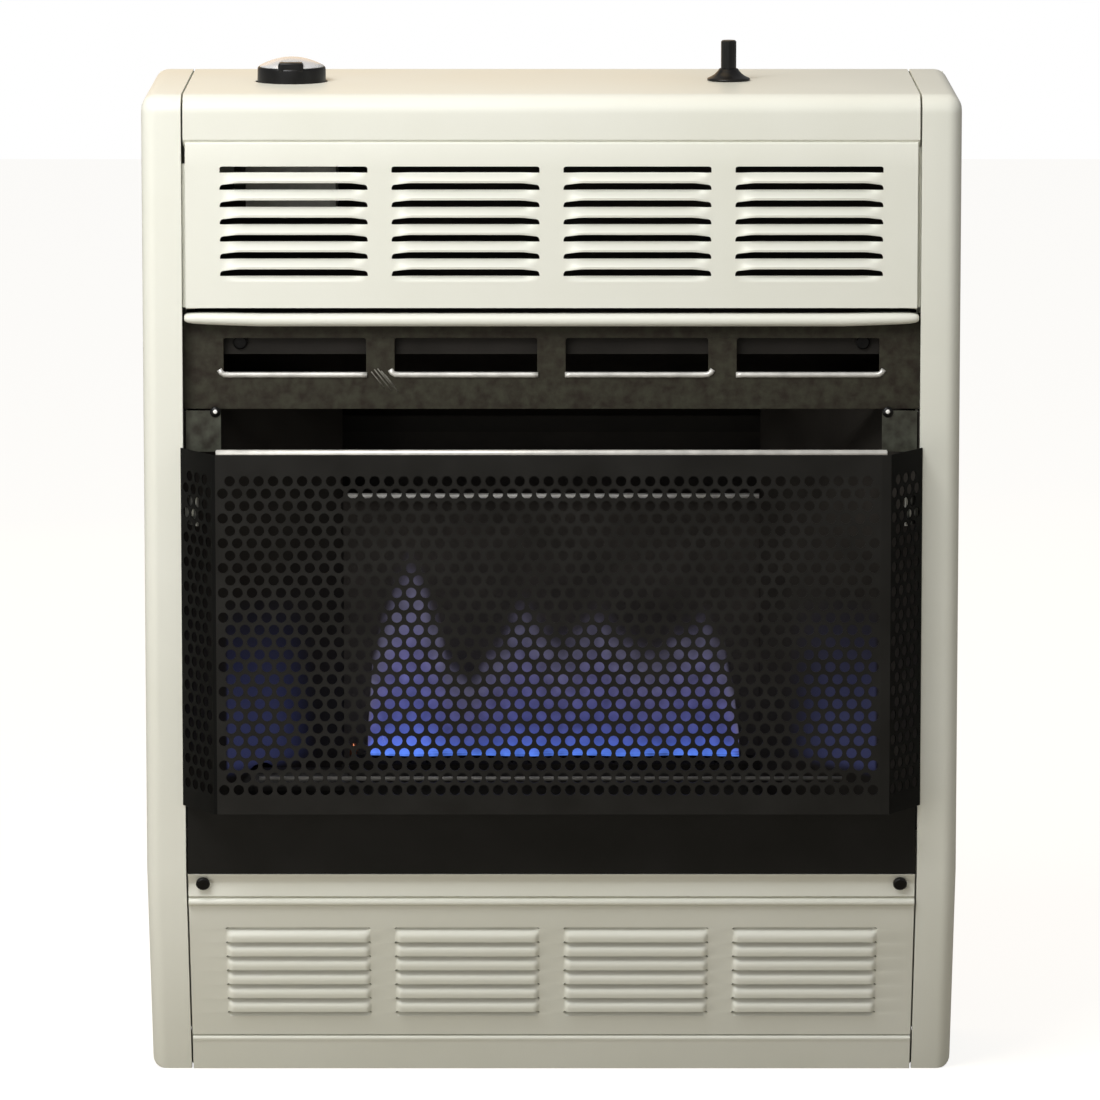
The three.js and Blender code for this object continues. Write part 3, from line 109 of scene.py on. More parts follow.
# White surroundings for the camera and for reflections, and a softer level of the same light on the heater.
surroundings = bpy.data.worlds.new("white_room")
bpy.context.scene.world = surroundings
surroundings.use_nodes = True
room = surroundings.node_tree
room.nodes.clear()
room_rays = room.nodes.new("ShaderNodeLightPath")
room_seen = room.nodes.new("ShaderNodeMath")
room_seen.operation = "MAXIMUM"
room_level = room.nodes.new("ShaderNodeMapRange")
room_level.inputs["To Min"].default_value = 0.35
room_level.inputs["To Max"].default_value = 1.0
room_light = room.nodes.new("ShaderNodeBackground")
room_light.inputs["Color"].default_value = (1, 1, 1, 1)
room_out = room.nodes.new("ShaderNodeOutputWorld")
room.links.new(room_rays.outputs["Is Camera Ray"], room_seen.inputs[0])
room.links.new(room_rays.outputs["Is Transmission Ray"], room_seen.inputs[1])
room.links.new(room_seen.outputs[0], room_level.inputs["Value"])
room.links.new(room_level.outputs[0], room_light.inputs["Strength"])
room.links.new(room_light.outputs[0], room_out.inputs["Surface"])

# Soft boxes: the main one stands close at the upper left in front, a small one low at the left, a weak one
# at the right, and two warm ones above and behind, which colour the flat top.
for box_name, place, aim, width, power, tint in (
    ("key_softbox", (-0.7, -1.25, 1.75), (0, 0, 0.45), 1.0, 30.5, (0.995, 1.0, 1.0)),
    ("low_softbox", (-0.95, -1.0, 0.32), (-0.25, 0, 0.33), 0.6, 3.4, (1.0, 0.985, 0.94)),
    ("right_softbox", (2.6, -1.8, 1.2), (0, 0, 0.4), 1.2, 2.5, (1.0, 0.97, 0.90)),
    ("top_softbox", (-0.4, 0.1, 2.2), (0, 0, 0.6), 1.0, 4.5, (1.0, 0.74, 0.42)),
    ("back_softbox", (-0.6, 2.2, 1.15), (0, 0, 0.667), 1.6, 6, (1.0, 0.60, 0.20)),
):
    softbox = bpy.data.lights.new(box_name, "AREA")
    softbox.size = width
    softbox.energy = power
    softbox.color = tint
    lamp = bpy.data.objects.new(box_name, softbox)
    lamp.visible_camera = False
    lamp.location = place
    lamp.rotation_euler = (Vector(aim) - Vector(place)).to_track_quat("-Z", "Y").to_euler()
    bpy.context.collection.objects.link(lamp)

# Side panels. Each is one steel pressing that wraps from the front round a 10 mm corner to the side, with a
# 27 mm flange on the front, the sloping foot and the top, its lower edge curled in, baked in a warm off-
# white enamel. It is screwed to the back panel.
half_width = 0.270
corner = 0.010
front = -0.0775
back = 0.1125
top = 0.667
bend = 0.0125
knee = 0.1463
slope = math.radians(23)
foot = front + knee * math.tan(slope)
seam = 0.2436
sheet = 0.0012
near = 0.0001
edge_fold = 0.006
lower_curl = 0.008
tongue_edge, tongue_inner = 0.2434, 0.2385
tongue_low = 0.5263
tongue_high = {-1: 0.6215, 1: 0.6325}
upper_tongue_depth, lower_tongue_depth = 0.004, 0.009
rear_edge, rear_inner, rear_high = 0.2665, 0.2435, 0.6655


def tone(red, green, blue):
    """A colour as a paint card gives it, from 0 to 255, turned into the renderer's own scale."""
    scaled = [value / 255 for value in (red, green, blue)]
    return [v / 12.92 if v < 0.04045 else ((v + 0.055) / 1.055) ** 2.4 for v in scaled] + [1]


def finish(name, dark, light, patch, gloss, grain, depth, metallic=0.0, specular=0.5):
    """A finish with uneven colour and gloss in patches, and a fine surface grain."""
    made = bpy.data.materials.new(name)
    made.use_nodes = True
    tree = made.node_tree
    surface = tree.nodes["Principled BSDF"]
    surface.inputs["Metallic"].default_value = metallic
    surface.inputs["Specular IOR Level"].default_value = specular
    place = tree.nodes.new("ShaderNodeTexCoord")
    patches = tree.nodes.new("ShaderNodeTexNoise")
    patches.inputs["Scale"].default_value = patch
    patches.inputs["Detail"].default_value = 4
    spread = tree.nodes.new("ShaderNodeMapRange")
    shine = tree.nodes.new("ShaderNodeMapRange")
    for stretch in (spread, shine):
        stretch.inputs["From Min"].default_value = 0.3
        stretch.inputs["From Max"].default_value = 0.7
    mixed = tree.nodes.new("ShaderNodeMix")
    mixed.data_type = "RGBA"
    mixed.inputs["A"].default_value = tone(*dark)
    mixed.inputs["B"].default_value = tone(*light)
    shine.inputs["To Min"].default_value = gloss[0]
    shine.inputs["To Max"].default_value = gloss[1]
    fine = tree.nodes.new("ShaderNodeTexNoise")
    fine.inputs["Scale"].default_value = grain
    fine.inputs["Detail"].default_value = 2
    relief = tree.nodes.new("ShaderNodeBump")
    relief.inputs["Strength"].default_value = 0.5
    relief.inputs["Distance"].default_value = depth
    for texture in (patches, fine):
        tree.links.new(place.outputs["Object"], texture.inputs["Vector"])
    tree.links.new(patches.outputs["Fac"], spread.inputs["Value"])
    tree.links.new(spread.outputs[0], mixed.inputs["Factor"])
    tree.links.new(mixed.outputs["Result"], surface.inputs["Base Color"])
    tree.links.new(patches.outputs["Fac"], shine.inputs["Value"])
    tree.links.new(shine.outputs[0], surface.inputs["Roughness"])
    tree.links.new(fine.outputs["Fac"], relief.inputs["Height"])
    tree.links.new(relief.outputs[0], surface.inputs["Normal"])
    return made


def fit(name, form, material, body, slot, *nodes):
    """The piece that stands for these CAD nodes, riding with its body."""
    mesh = bpy.data.meshes.new(name)
    form.to_mesh(mesh)
    form.free()
    mesh.materials.append(material)
    mesh.polygons.foreach_set("use_smooth", [True] * len(mesh.polygons))
    piece = bpy.data.objects.new(name, mesh)
    bpy.context.collection.objects.link(piece)
    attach(piece, body)
    if nodes:
        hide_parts(*nodes)
    return piece


def gauge(piece, thickness, round_over):
    """Gives a surface its sheet thickness, inwards, and breaks its edges."""
    wall = piece.modifiers.new("sheet", "SOLIDIFY")
    wall.thickness = thickness
    wall.offset = -1
    edge = piece.modifiers.new("edge", "BEVEL")
    edge.width = round_over
    edge.segments = 2
    edge.limit_method = "ANGLE"
    edge.angle_limit = math.radians(38)
    edge.harden_normals = True
    return piece


cream_enamel = finish("cream_enamel", (226, 226, 214), (231, 231, 221), 7, (0.36, 0.46), 900, 0.00006,
                      specular=0.4)
casing_form = bmesh.new()
bend_line = [math.radians(7.5 * step) for step in range(13)]
casing_line = [(back, 0.0), (foot, 0.0), (front, knee)]
casing_line += [(front + bend * (1 - math.cos(a)), top - bend + bend * math.sin(a)) for a in bend_line]
casing_line += [(back, top)]
casing_side = casing_form.faces.new([casing_form.verts.new((-half_width, y, z)) for y, z in casing_line])
casing_run = bmesh.ops.extrude_face_region(casing_form, geom=[casing_side], use_keep_orig=True)
far_side = [v for v in casing_run["geom"] if isinstance(v, bmesh.types.BMVert)]
bmesh.ops.translate(casing_form, vec=(2 * half_width, 0, 0), verts=far_side)
bmesh.ops.recalc_face_normals(casing_form, faces=casing_form.faces)
rounded = []
for edge in casing_form.edges:
    a, b = (v.co for v in edge.verts)
    open_edge = min(a.y, b.y) > back - 0.001 or max(a.z, b.z) < 0.001
    if abs(a.x - b.x) < 0.001 and not open_edge:
        rounded.append(edge)
bmesh.ops.bevel(casing_form, geom=rounded, offset=corner, segments=7, profile=0.5, affect="EDGES",
                clamp_overlap=False, material=-1)
open_faces = [f for f in casing_form.faces
              if min(v.co.y for v in f.verts) > back - near or max(v.co.z for v in f.verts) < near]
bmesh.ops.delete(casing_form, geom=open_faces, context="FACES")


def casing_part(*cuts):
    """The part of the casing's outer form that lies behind each cutting plane."""
    part = casing_form.copy()
    for at, facing in cuts:
        every = part.verts[:] + part.edges[:] + part.faces[:]
        bmesh.ops.bisect_plane(part, geom=every, plane_co=at, plane_no=facing, clear_outer=True)
    return part


def grown_verts(grown):
    """The new vertices that an extrude gives back."""
    return [v for v in grown["geom"] if isinstance(v, bmesh.types.BMVert)]


def turn_in(form, on_edge, by):
    """Folds the sheet inwards along the edges that the test picks."""
    edges = [e for e in form.edges if e.is_boundary and all(on_edge(v.co) for v in e.verts)]
    flange = grown_verts(bmesh.ops.extrude_edge_only(form, edges=edges))
    bmesh.ops.translate(form, vec=by, verts=flange)
    return flange


def flat_face(form, spots, facing):
    """Adds one face through these spots, turned to the front (-1) or to the rear (1)."""
    face = form.faces.new([form.verts.new(spot) for spot in spots])
    face.normal_update()
    if face.normal.y * facing < 0:
        face.normal_flip()


for side, node in ((-1, "left_side_panel"), (1, "right_side_panel")):
    panel_form = casing_part(((side * seam, 0, 0), (-side, 0, 0)))
    for v in turn_in(panel_form, lambda co: abs(abs(co.x) - seam) < near, (0, edge_fold, -edge_fold)):
        v.co.y = min(v.co.y, back)
        v.co.z = max(v.co.z, 0.0)
    for depth, (low_y, low_z), (high_y, high_z) in (
        (upper_tongue_depth, (front, tongue_low), (front, tongue_high[side])),
        (lower_tongue_depth, (foot, 0.0015), (front + 0.0006, knee - 0.002)),
    ):
        low_y, high_y = low_y + depth, high_y + depth
        flat_face(panel_form, [(side * x, y, z) for x, y, z in (
            (tongue_edge, low_y, low_z), (tongue_inner, low_y, low_z),
            (tongue_inner, high_y, high_z), (tongue_edge, high_y, high_z))], -1)
    for height in (0.0005, 0.0014, 0.0026, 0.0042, 0.006, lower_curl):
        every = panel_form.verts[:] + panel_form.edges[:] + panel_form.faces[:]
        bmesh.ops.bisect_plane(panel_form, geom=every, plane_co=(0, 0, height), plane_no=(0, 0, 1))
    for v in panel_form.verts:
        curl = lower_curl - math.sqrt(lower_curl ** 2 - max(lower_curl - v.co.z, 0) ** 2)
        v.co.x = side * min(abs(v.co.x), half_width - curl)
    flat_face(panel_form, [(side * x, back, z) for x, z in (
        (rear_edge, lower_curl), (rear_edge - 0.005, 0.001), (rear_inner, 0.001), (rear_inner, rear_high),
        (rear_edge, rear_high))], 1)
    gauge(fit(node + "_pressing", panel_form, cream_enamel, "root", "cream_enamel", node), sheet, 0.0004)

# Top cover. It is the same sheet between the side panels: flat on top, bent down over the front with a 12.5
# mm radius and hemmed along its lower edge, with round holes for the knob and the igniter. Four screws from
# below hold it.
cover_half = 0.2424
cover_low = 0.6375
knob_x, knob_y = -0.1739, 0.0235
igniter_x, igniter_y = 0.1186, 0.0275
knob_hole = (knob_x, knob_y, 0.0242)
igniter_hole = (igniter_x, igniter_y, 0.0068)
hole_margin = 0.003
cover_form = casing_part(
    ((cover_half, 0, 0), (1, 0, 0)),
    ((-cover_half, 0, 0), (-1, 0, 0)),
    ((0, 0, cover_low), (0, 0, -1)),
)
flat_top = [f for f in cover_form.faces if f.normal.z > 0.999]
rim = [e for f in flat_top for e in f.edges]
bmesh.ops.delete(cover_form, geom=flat_top, context="FACES_ONLY")
hole_edges = []
for x, y, radius in (knob_hole, igniter_hole):
    ring = bmesh.ops.create_circle(cover_form, segments=40, radius=radius + hole_margin,
                                   matrix=Matrix.Translation((x, y, top)))
    hole_edges.append([e for e in cover_form.edges if all(v in ring["verts"] for v in e.verts)])
    rim += hole_edges[-1]
bmesh.ops.triangle_fill(cover_form, edges=[e for e in rim if e.is_valid], use_beauty=True, normal=(0, 0, 1))
for (x, y, radius), edges in zip((knob_hole, igniter_hole), hole_edges):
    inward = bmesh.ops.extrude_edge_only(cover_form, edges=edges)
    shrink = radius / (radius + hole_margin)
    bmesh.ops.scale(cover_form, vec=(shrink, shrink, 1), space=Matrix.Translation((-x, -y, 0)),
                    verts=grown_verts(inward))
for v in turn_in(cover_form, lambda co: abs(abs(co.x) - cover_half) < near, (0, 0.005, -0.005)):
    v.co.y = min(v.co.y, back)
turn_in(cover_form, lambda co: abs(co.z - cover_low) < near, (0, 0.0012, 0.0006))
cover = fit("top_cover_pressing", cover_form, cream_enamel, "root", "cream_enamel", "top_cover")
gauge(cover, sheet, 0.0005)

# Louvred panels. Both are steel pressings in the same enamel with four groups of seven slots. The strip
# below each slot is turned like a slat: its upper edge goes inside and its lower lip stands proud, bowed
# upwards. The upper panel is upright, the lower one lies on the sloping foot.
panel_half = 0.2424
upper_half = 0.2410
group_centres = (-0.16965, -0.05655, 0.05655, 0.16965)
slot_count = 7
slot_half = 0.04865
slot_pitch = 0.0114
first_slot = 0.0201
end_radius = 0.0022
panel_sheet, panel_edge = 0.0009, 0.0003
end_steps = (0.0, 0.0005, 0.0012, 0.0022, 0.0036, 0.0054, 0.0076, 0.0102, 0.0132)
upper_slat = ((0.16, 0.70), (0.34, 0.28), (0.52, -0.18), (0.70, -0.58), (0.86, -0.88), (0.96, -1.0))
lower_slat = ((0.07, 0.85), (0.18, 0.45), (0.32, -0.10), (0.46, -0.55), (0.62, -0.82), (0.85, -0.95))


def eased(share):
    """A share from 0 to 1 with a soft start and end."""
    return share * share * (3 - 2 * share)


def louvred_sheet(half, height, fold, ramp, gap, slat, reach, depth):
    """A flat sheet with its slots and slats, standing on the X axis and facing the front.

    Its edges fold back by fold. A slat swells over ramp from its ends, reaches down by reach and stands in
    and out by depth. gap holds the heights of a slot at its ends, at its middle and of the first slot.
    """
    columns = [-half]
    for middle in group_centres:
        columns += [middle - slot_half + step for step in end_steps] + [middle]
        columns += [middle + slot_half - step for step in reversed(end_steps)]
    columns.append(half)
    rows = [(height, "sheet", 0.0), (height - 0.0004, "sheet", 0.0), (height - 0.0013, "sheet", 0.0)]
    for number in range(slot_count):
        low = height - first_slot - number * slot_pitch
        rows += [(low, "lip" if number else "brow", -0.9 if number else 0.0), (low, "edge", 1.0)]
        for share, lift in slat:
            rows.append((low - reach * share, "slat", lift if number < slot_count - 1 else max(lift, 0.0)))
    rows.append((0.0, "sheet", 0.0))
    rows.reverse()
    form = bmesh.new()
    across, up = len(columns) - 1, len(rows) - 1
    bmesh.ops.create_grid(form, x_segments=across, y_segments=up, size=0.5)
    cells = {v: (round((v.co.x + 0.5) * across), round((v.co.y + 0.5) * up)) for v in form.verts}
    slot_faces = []
    for face in form.faces:
        column = min(cells[v][0] for v in face.verts)
        row = min(cells[v][1] for v in face.verts)
        middle = (columns[column] + columns[column + 1]) / 2
        if rows[row][1] == "edge" and any(abs(middle - g) < slot_half for g in group_centres):
            slot_faces.append(face)
    for v, (column, row) in cells.items():
        x, (z, kind, lift) = columns[column], rows[row]
        inside = max(0, max(slot_half - abs(x - g) for g in group_centres))
        swell = eased(min(inside / ramp, 1))
        rounding = 1 - math.sqrt(1 - (1 - min(inside / end_radius, 1)) ** 2)
        y = depth * lift * swell
        if kind == "lip":
            z += max(gap[0] + (gap[1] - gap[0]) * swell - 0.0021 * rounding, 0.0003)
        if kind == "brow":
            z += max(gap[2] - 0.0012 * rounding, 0.0003)
        if kind == "slat":
            z += 0.0009 * swell * max(-lift, 0) - 0.0017 * (1 - swell) * max(-lift, 0)
        if z > height - 0.001:
            y += 0.0009 if z > height - 0.0002 else 0.0003
        v.co = (x, y, z)
    bmesh.ops.delete(form, geom=slot_faces, context="FACES")
    for on_edge in (
        lambda co: abs(abs(co.x) - half) < near,
        lambda co: abs(co.z - height) < near,
        lambda co: abs(co.z) < near,
    ):
        turn_in(form, on_edge, (0, fold, 0))
    return form


upper_low, upper_high = (spot.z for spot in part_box("upper_louvre_panel"))
upper_gap = (0.0034, 0.0048, 0.0041)
upper_form = louvred_sheet(upper_half, upper_high - upper_low, 0.0026, 0.0132, upper_gap, upper_slat,
                           0.0062, 0.003)
bmesh.ops.translate(upper_form, vec=(0, front, upper_low), verts=upper_form.verts)
upper_louvres = fit("upper_louvre_pressing", upper_form, cream_enamel, "root", "cream_enamel",
                    "upper_louvre_panel")
gauge(upper_louvres, panel_sheet, panel_edge)

lower_low, lower_high = (spot.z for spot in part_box("lower_louvre_panel"))
lower_height = (lower_high - lower_low) / math.cos(slope)
lower_gap = (0.0020, 0.0022, 0.0014)
lower_form = louvred_sheet(panel_half, lower_height, 0.004, 0.0034, lower_gap, lower_slat, 0.0084, 0.0026)
bmesh.ops.rotate(lower_form, cent=(0, 0, 0), matrix=Matrix.Rotation(slope, 3, "X"), verts=lower_form.verts)
lower_foot = foot - lower_low * math.tan(slope)
bmesh.ops.translate(lower_form, vec=(0, lower_foot, lower_low), verts=lower_form.verts)
lower_louvres = fit("lower_louvre_pressing", lower_form, cream_enamel, "root", "cream_enamel",
                    "lower_louvre_panel")
gauge(lower_louvres, panel_sheet, panel_edge)

# Header rail below the upper panel: a rounded steel nose in the same enamel, drawn down to a blunt tip at
# each end. It hangs on the panel's lower flange.
rail_low, rail_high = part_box("header_rail")
rail_half = (rail_high.z - rail_low.z) / 2
tip_length = 0.05
tip_line = ((0.0, 0.30), (0.0006, 0.52), (0.0022, 0.70), (0.006, 0.82), (0.014, 0.90), (0.026, 0.95),
            (tip_length, 1.0))
nose_reach = 0.0048
nose_front = rail_low.y + 0.0005
nose_sag = 0.0012
header_form = bmesh.new()
nose_turn = [math.radians(15 * step) for step in range(-6, 7)]
nose_rings = [(-panel_half + inset, share) for inset, share in tip_line]
nose_rings += [(-x, share) for x, share in reversed(nose_rings)]
last_ring = None
for x, share in nose_rings:
    rail_middle = (rail_low.z + rail_high.z) / 2 - nose_sag * min((panel_half - abs(x)) / tip_length, 1)
    tip_half = rail_half * share
    spots = [(rail_high.y, rail_middle - tip_half)]
    spots += [(nose_front + nose_reach * (1 - share * math.cos(a)), rail_middle + tip_half * math.sin(a))
              for a in nose_turn]
    spots.append((rail_high.y, rail_middle + tip_half))
    ring = [header_form.verts.new((x, y, z)) for y, z in spots]
    if last_ring:
        for number in range(len(ring)):
            after = (number + 1) % len(ring)
            header_form.faces.new((last_ring[number], last_ring[after], ring[after], ring[number]))
    else:
        header_form.faces.new(ring)
    last_ring = ring
header_form.faces.new(list(reversed(last_ring)))
bmesh.ops.recalc_face_normals(header_form, faces=header_form.faces)
fit("header_nose", header_form, cream_enamel, "root", "cream_enamel", "header_rail")

# Sill rail above the lower louvres: one rolled strip with a hollow face, a groove and a proud bead. A black
# screw at each end holds it to the side panels.
bead_y, bead_z = 0.0006, -0.0221
bead_depth, bead_height = 0.0030, 0.0028
sill_line = [(0.0186, -0.0002), (0.0, 0.0), (0.0010, -0.0040), (0.0022, -0.0070), (0.0020, -0.0095),
             (0.0012, -0.0120), (-0.0008, -0.0172), (0.0018, -0.0180), (0.0018, -0.0192)]
for step in range(5, -7, -1):
    a = math.radians(15 * step)
    sill_line.append((bead_y - bead_depth * math.cos(a), bead_z + bead_height * math.sin(a)))
sill_line.append((0.0046, -0.0250))


def strip(line):
    """A sheet form that runs from end to end of the panels along this line of depth and height."""
    form = bmesh.new()
    spots = [form.verts.new((-panel_half, y, z)) for y, z in line]
    edges = [form.edges.new(pair) for pair in zip(spots, spots[1:])]
    run = bmesh.ops.extrude_edge_only(form, edges=edges)
    bmesh.ops.translate(form, vec=(2 * panel_half, 0, 0), verts=grown_verts(run))
    return form


sill_form = strip(sill_line)
bmesh.ops.rotate(sill_form, cent=(0, 0, 0), matrix=Matrix.Rotation(slope, 3, "X"), verts=sill_form.verts)
bmesh.ops.translate(sill_form, vec=(0, front, knee - 0.0002), verts=sill_form.verts)
bmesh.ops.recalc_face_normals(sill_form, faces=sill_form.faces)
for v in sill_form.verts:
    v.co.z = min(v.co.z, knee)
sill = fit("sill_strip", sill_form, cream_enamel, "root", "cream_enamel", "sill_rail")
gauge(sill, panel_sheet, panel_edge)

# Kick rail along the foot: a plain channel in the same enamel, with a rounded upper edge. Its lower left
# corner is left bare.
kick_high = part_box("kick_rail")[1].z
kick_line = [(y, kick_high - drop) for y, drop in (
    (0.012, 0.0), (0.0022, 0.0), (0.0006, 0.0004), (-0.0004, 0.0012), (-0.0009, 0.0022), (-0.0009, 0.0032),
    (-0.0005, 0.0046), (-0.0005, 0.0052))]
kick_line += [(-0.0005, 0.0), (0.010, 0.0)]
kick_form = strip([(foot + y - z * math.tan(slope), z) for y, z in kick_line])
bmesh.ops.recalc_face_normals(kick_form, faces=kick_form.faces)
kick = fit("kick_channel", kick_form, cream_enamel, "root", "cream_enamel", "kick_rail")
gauge(kick, sheet, 0.0004)

# Hood under the header: a black enamelled plate with turned-in outlet windows below the louvre groups,
# folded back over the firebox and mottled by heat. A rolled lip runs along each window's lower edge and
# curls up at one end; its pale steel colour is a painted highlight along it. The first post between the
# windows is scuffed.
hood_face = front + 0.010
hood_half = 0.2580
hood_low, hood_high = (spot.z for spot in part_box("hood"))
window_low = hood_low + 0.022
window_high = window_low + 0.0253
window_half = 0.0471
window_corner = 0.0016
window_turn, lower_fold = 0.0035, 0.025
windows_end = 0.23
lip_radius = 0.0019
scuff_radius = 0.00042
hood_enamel = finish("hood_enamel", (40, 34, 28), (56, 55, 44), 170, (0.42, 0.58), 420, 0.0003,
                     specular=0.22)
# Pale steel for the rolled window lips and the guard's hem: real rolled edges, with a painted highlight in
# their light colour.
rolled_edge_painted_highlight = finish("rolled_edge_painted_highlight", (196, 194, 189), (226, 224, 218), 90, (0.3, 0.45), 500, 0.00005,
                      metallic=0.4)
scuffed_steel = finish("scuffed_steel", (92, 90, 82), (122, 120, 111), 300, (0.45, 0.6), 500, 0.00005,
                       specular=0.25)


def rod(form, path, radius, sides):
    """Adds a round bar with capped ends along a path of points."""
    inward = Vector((0, 1, 0))
    last = None
    for number, spot in enumerate(path):
        ahead = Vector(path[min(number + 1, len(path) - 1)]) - Vector(path[max(number - 1, 0)])
        out = ahead.normalized().cross(inward).normalized()
        ring = []
        for step in range(sides):
            a = 2 * math.pi * step / sides
            ring.append(form.verts.new(Vector(spot) + radius * (math.cos(a) * out + math.sin(a) * inward)))
        if last:
            for step in range(sides):
                after = (step + 1) % sides
                form.faces.new((last[step], last[after], ring[after], ring[step]))
        else:
            form.faces.new(ring)
        last = ring
    form.faces.new(list(reversed(last)))
    bmesh.ops.recalc_face_normals(form, faces=form.faces)


hood_form = bmesh.new()
flat_face(hood_form, [(x, hood_face, z) for x, z in (
    (-hood_half, hood_low), (hood_half, hood_low), (hood_half, hood_high), (-hood_half, hood_high))], -1)
window_faces = []
for middle in group_centres:
    spots = [(middle - window_half, window_low), (middle + window_half, window_low),
             (middle + window_half, window_high), (middle - window_half, window_high)]
    window_faces.append(hood_form.faces.new([hood_form.verts.new((x, hood_face, z)) for x, z in spots]))
window_corners = [v for f in window_faces for v in f.verts]
bmesh.ops.bevel(hood_form, geom=window_corners, offset=window_corner, segments=4, profile=0.5,
                affect="VERTICES", material=-1)
bmesh.ops.delete(hood_form, geom=hood_form.faces[:], context="FACES_ONLY")
bmesh.ops.triangle_fill(hood_form, edges=hood_form.edges[:], use_beauty=True, normal=(0, -1, 0))
turn_in(hood_form, lambda co: window_low - near < co.z < window_high + near and abs(co.x) < windows_end,
        (0, window_turn, 0))
turn_in(hood_form, lambda co: co.z < hood_low + near, (0, lower_fold, 0))
bmesh.ops.recalc_face_normals(hood_form, faces=hood_form.faces)
hood = fit("hood_plate", hood_form, hood_enamel, "root", "black_enamel", "hood")
gauge(hood, sheet, 0.0004)
lip_form = bmesh.new()
lip_line = [(-window_half - 0.0030, 0.0036), (-window_half - 0.0016, 0.0014),
            (-window_half + 0.0002, 0.0002), (-window_half + 0.004, 0.0),
            (window_half - 0.003, 0.0), (window_half + 0.0006, 0.0)]
for middle in group_centres:
    outer = -1 if middle < 0 else 1
    lip_path = [(middle - outer * x, hood_face + 0.0004, window_low + 0.0008 + z) for x, z in lip_line]
    rod(lip_form, lip_path, lip_radius, 12)
fit("hood_window_lips", lip_form, rolled_edge_painted_highlight, "root", "black_enamel")
scuff_form = bmesh.new()
for x, rise, length in ((-0.1192, 0.0030, 0.0105), (-0.1172, 0.0045, 0.0140), (-0.1150, 0.0050, 0.0125),
                        (-0.1126, 0.0035, 0.0135), (-0.1102, 0.0010, 0.0080)):
    start = Vector((x, hood_face - 0.0001, window_low + rise))
    rod(scuff_form, [start, start + Vector((length * 0.8, 0, -length))], scuff_radius, 6)
fit("hood_scuffs", scuff_form, scuffed_steel, "root", "black_enamel")

# Firebox: side walls, back wall, floor, heat deflector and front skirt, and the panel that closes the back.
# All are folded from black enamelled steel, dulled by heat, and screwed together. They keep the CAD shapes.
# The side walls carry a painted blue glow near their foot: a painted reflection of the flame that shines
# on them.
flange_y = front + 0.0052
flange_inner, flange_outer = 0.2186, 0.2418
flange_low, flange_high = 0.4300, 0.4574
shelf_half, shelf_radius = 0.1405, 0.0017
firebox_enamel = finish("firebox_enamel", (40, 37, 34), (50, 46, 42), 38, (0.42, 0.6), 500, 0.0002,
                        specular=0.2)
# Painted shade: the heat deflector takes a darker copy of the firebox enamel, for the dark space under the
# hood.
deflector_painted_shade = finish("deflector_painted_shade", (31, 29, 26), (39, 36, 33), 38, (0.42, 0.6), 500, 0.0002,
                          specular=0.2)
flame_reflection_paint = finish("painted_flame_reflection_enamel", (38, 35, 32), (47, 44, 40), 38, (0.42, 0.6), 500, 0.0002,
                    specular=0.2)
skirt_enamel = finish("skirt_enamel", (15, 15, 13), (20, 19, 17), 30, (0.3, 0.42), 500, 0.0001,
                      specular=0.25)
pale_flange_finish = finish("pale_grey_flange", (44, 41, 35), (74, 76, 66), 120, (0.4, 0.6), 420, 0.0003, specular=0.25)


def dress(material, *nodes):
    """Gives carried-over CAD nodes their finish."""
    for node in nodes:
        frame["nodes"][node].material_slots[0].material = material


# Painted flame reflection: a blue emission on the side walls in a band just above the burner, fading out
# upwards, downwards and along the walls.
lit_tree = flame_reflection_paint.node_tree
lit_place = lit_tree.nodes.new("ShaderNodeTexCoord")
lit_parts = lit_tree.nodes.new("ShaderNodeSeparateXYZ")
lit_outward = lit_tree.nodes.new("ShaderNodeMath")
lit_outward.operation = "ABSOLUTE"
lit_surface = lit_tree.nodes["Principled BSDF"]
lit_surface.inputs["Emission Color"].default_value = tone(37, 41, 72)
lit_tree.links.new(lit_place.outputs["Object"], lit_parts.inputs[0])
lit_tree.links.new(lit_parts.outputs["X"], lit_outward.inputs[0])
upward, outward = lit_parts.outputs["Z"], lit_outward.outputs[0]
lit_share = None
for source, dark_end, lit_end in (
    (upward, 0.33, 0.21), (upward, 0.204, 0.214), (outward, 0.158, 0.192), (outward, 0.2183, 0.2160),
):
    lit_fade = lit_tree.nodes.new("ShaderNodeMapRange")
    lit_fade.interpolation_type = "SMOOTHSTEP"
    lit_fade.inputs["From Min"].default_value = dark_end
    lit_fade.inputs["From Max"].default_value = lit_end
    lit_tree.links.new(source, lit_fade.inputs["Value"])
    lit_product = lit_tree.nodes.new("ShaderNodeMath")
    lit_product.operation = "MULTIPLY"
    lit_product.inputs[0].default_value = 1
    lit_tree.links.new(lit_fade.outputs[0], lit_product.inputs[1])
    if lit_share:
        lit_tree.links.new(lit_share, lit_product.inputs[0])
    lit_share = lit_product.outputs[0]
lit_tree.links.new(lit_share, lit_surface.inputs["Emission Strength"])
dress(firebox_enamel, "firebox_back_wall", "firebox_floor", "back_panel")
dress(flame_reflection_paint, "firebox_left_wall", "firebox_right_wall")
dress(deflector_painted_shade, "heat_deflector")
dress(skirt_enamel, "front_skirt")
# The flange faces in front of the posts take a paler, greenish grey than the rest of the firebox enamel.
leg_form = bmesh.new()
for side in (-1, 1):
    flat_face(leg_form, [(side * x, flange_y, z) for x, z in (
        (flange_inner, flange_low), (flange_outer, flange_low),
        (flange_outer, flange_high), (flange_inner, flange_high))], -1)
gauge(fit("firebox_flange_faces", leg_form, pale_flange_finish, "root", "black_enamel"), 0.0005, 0.0001)
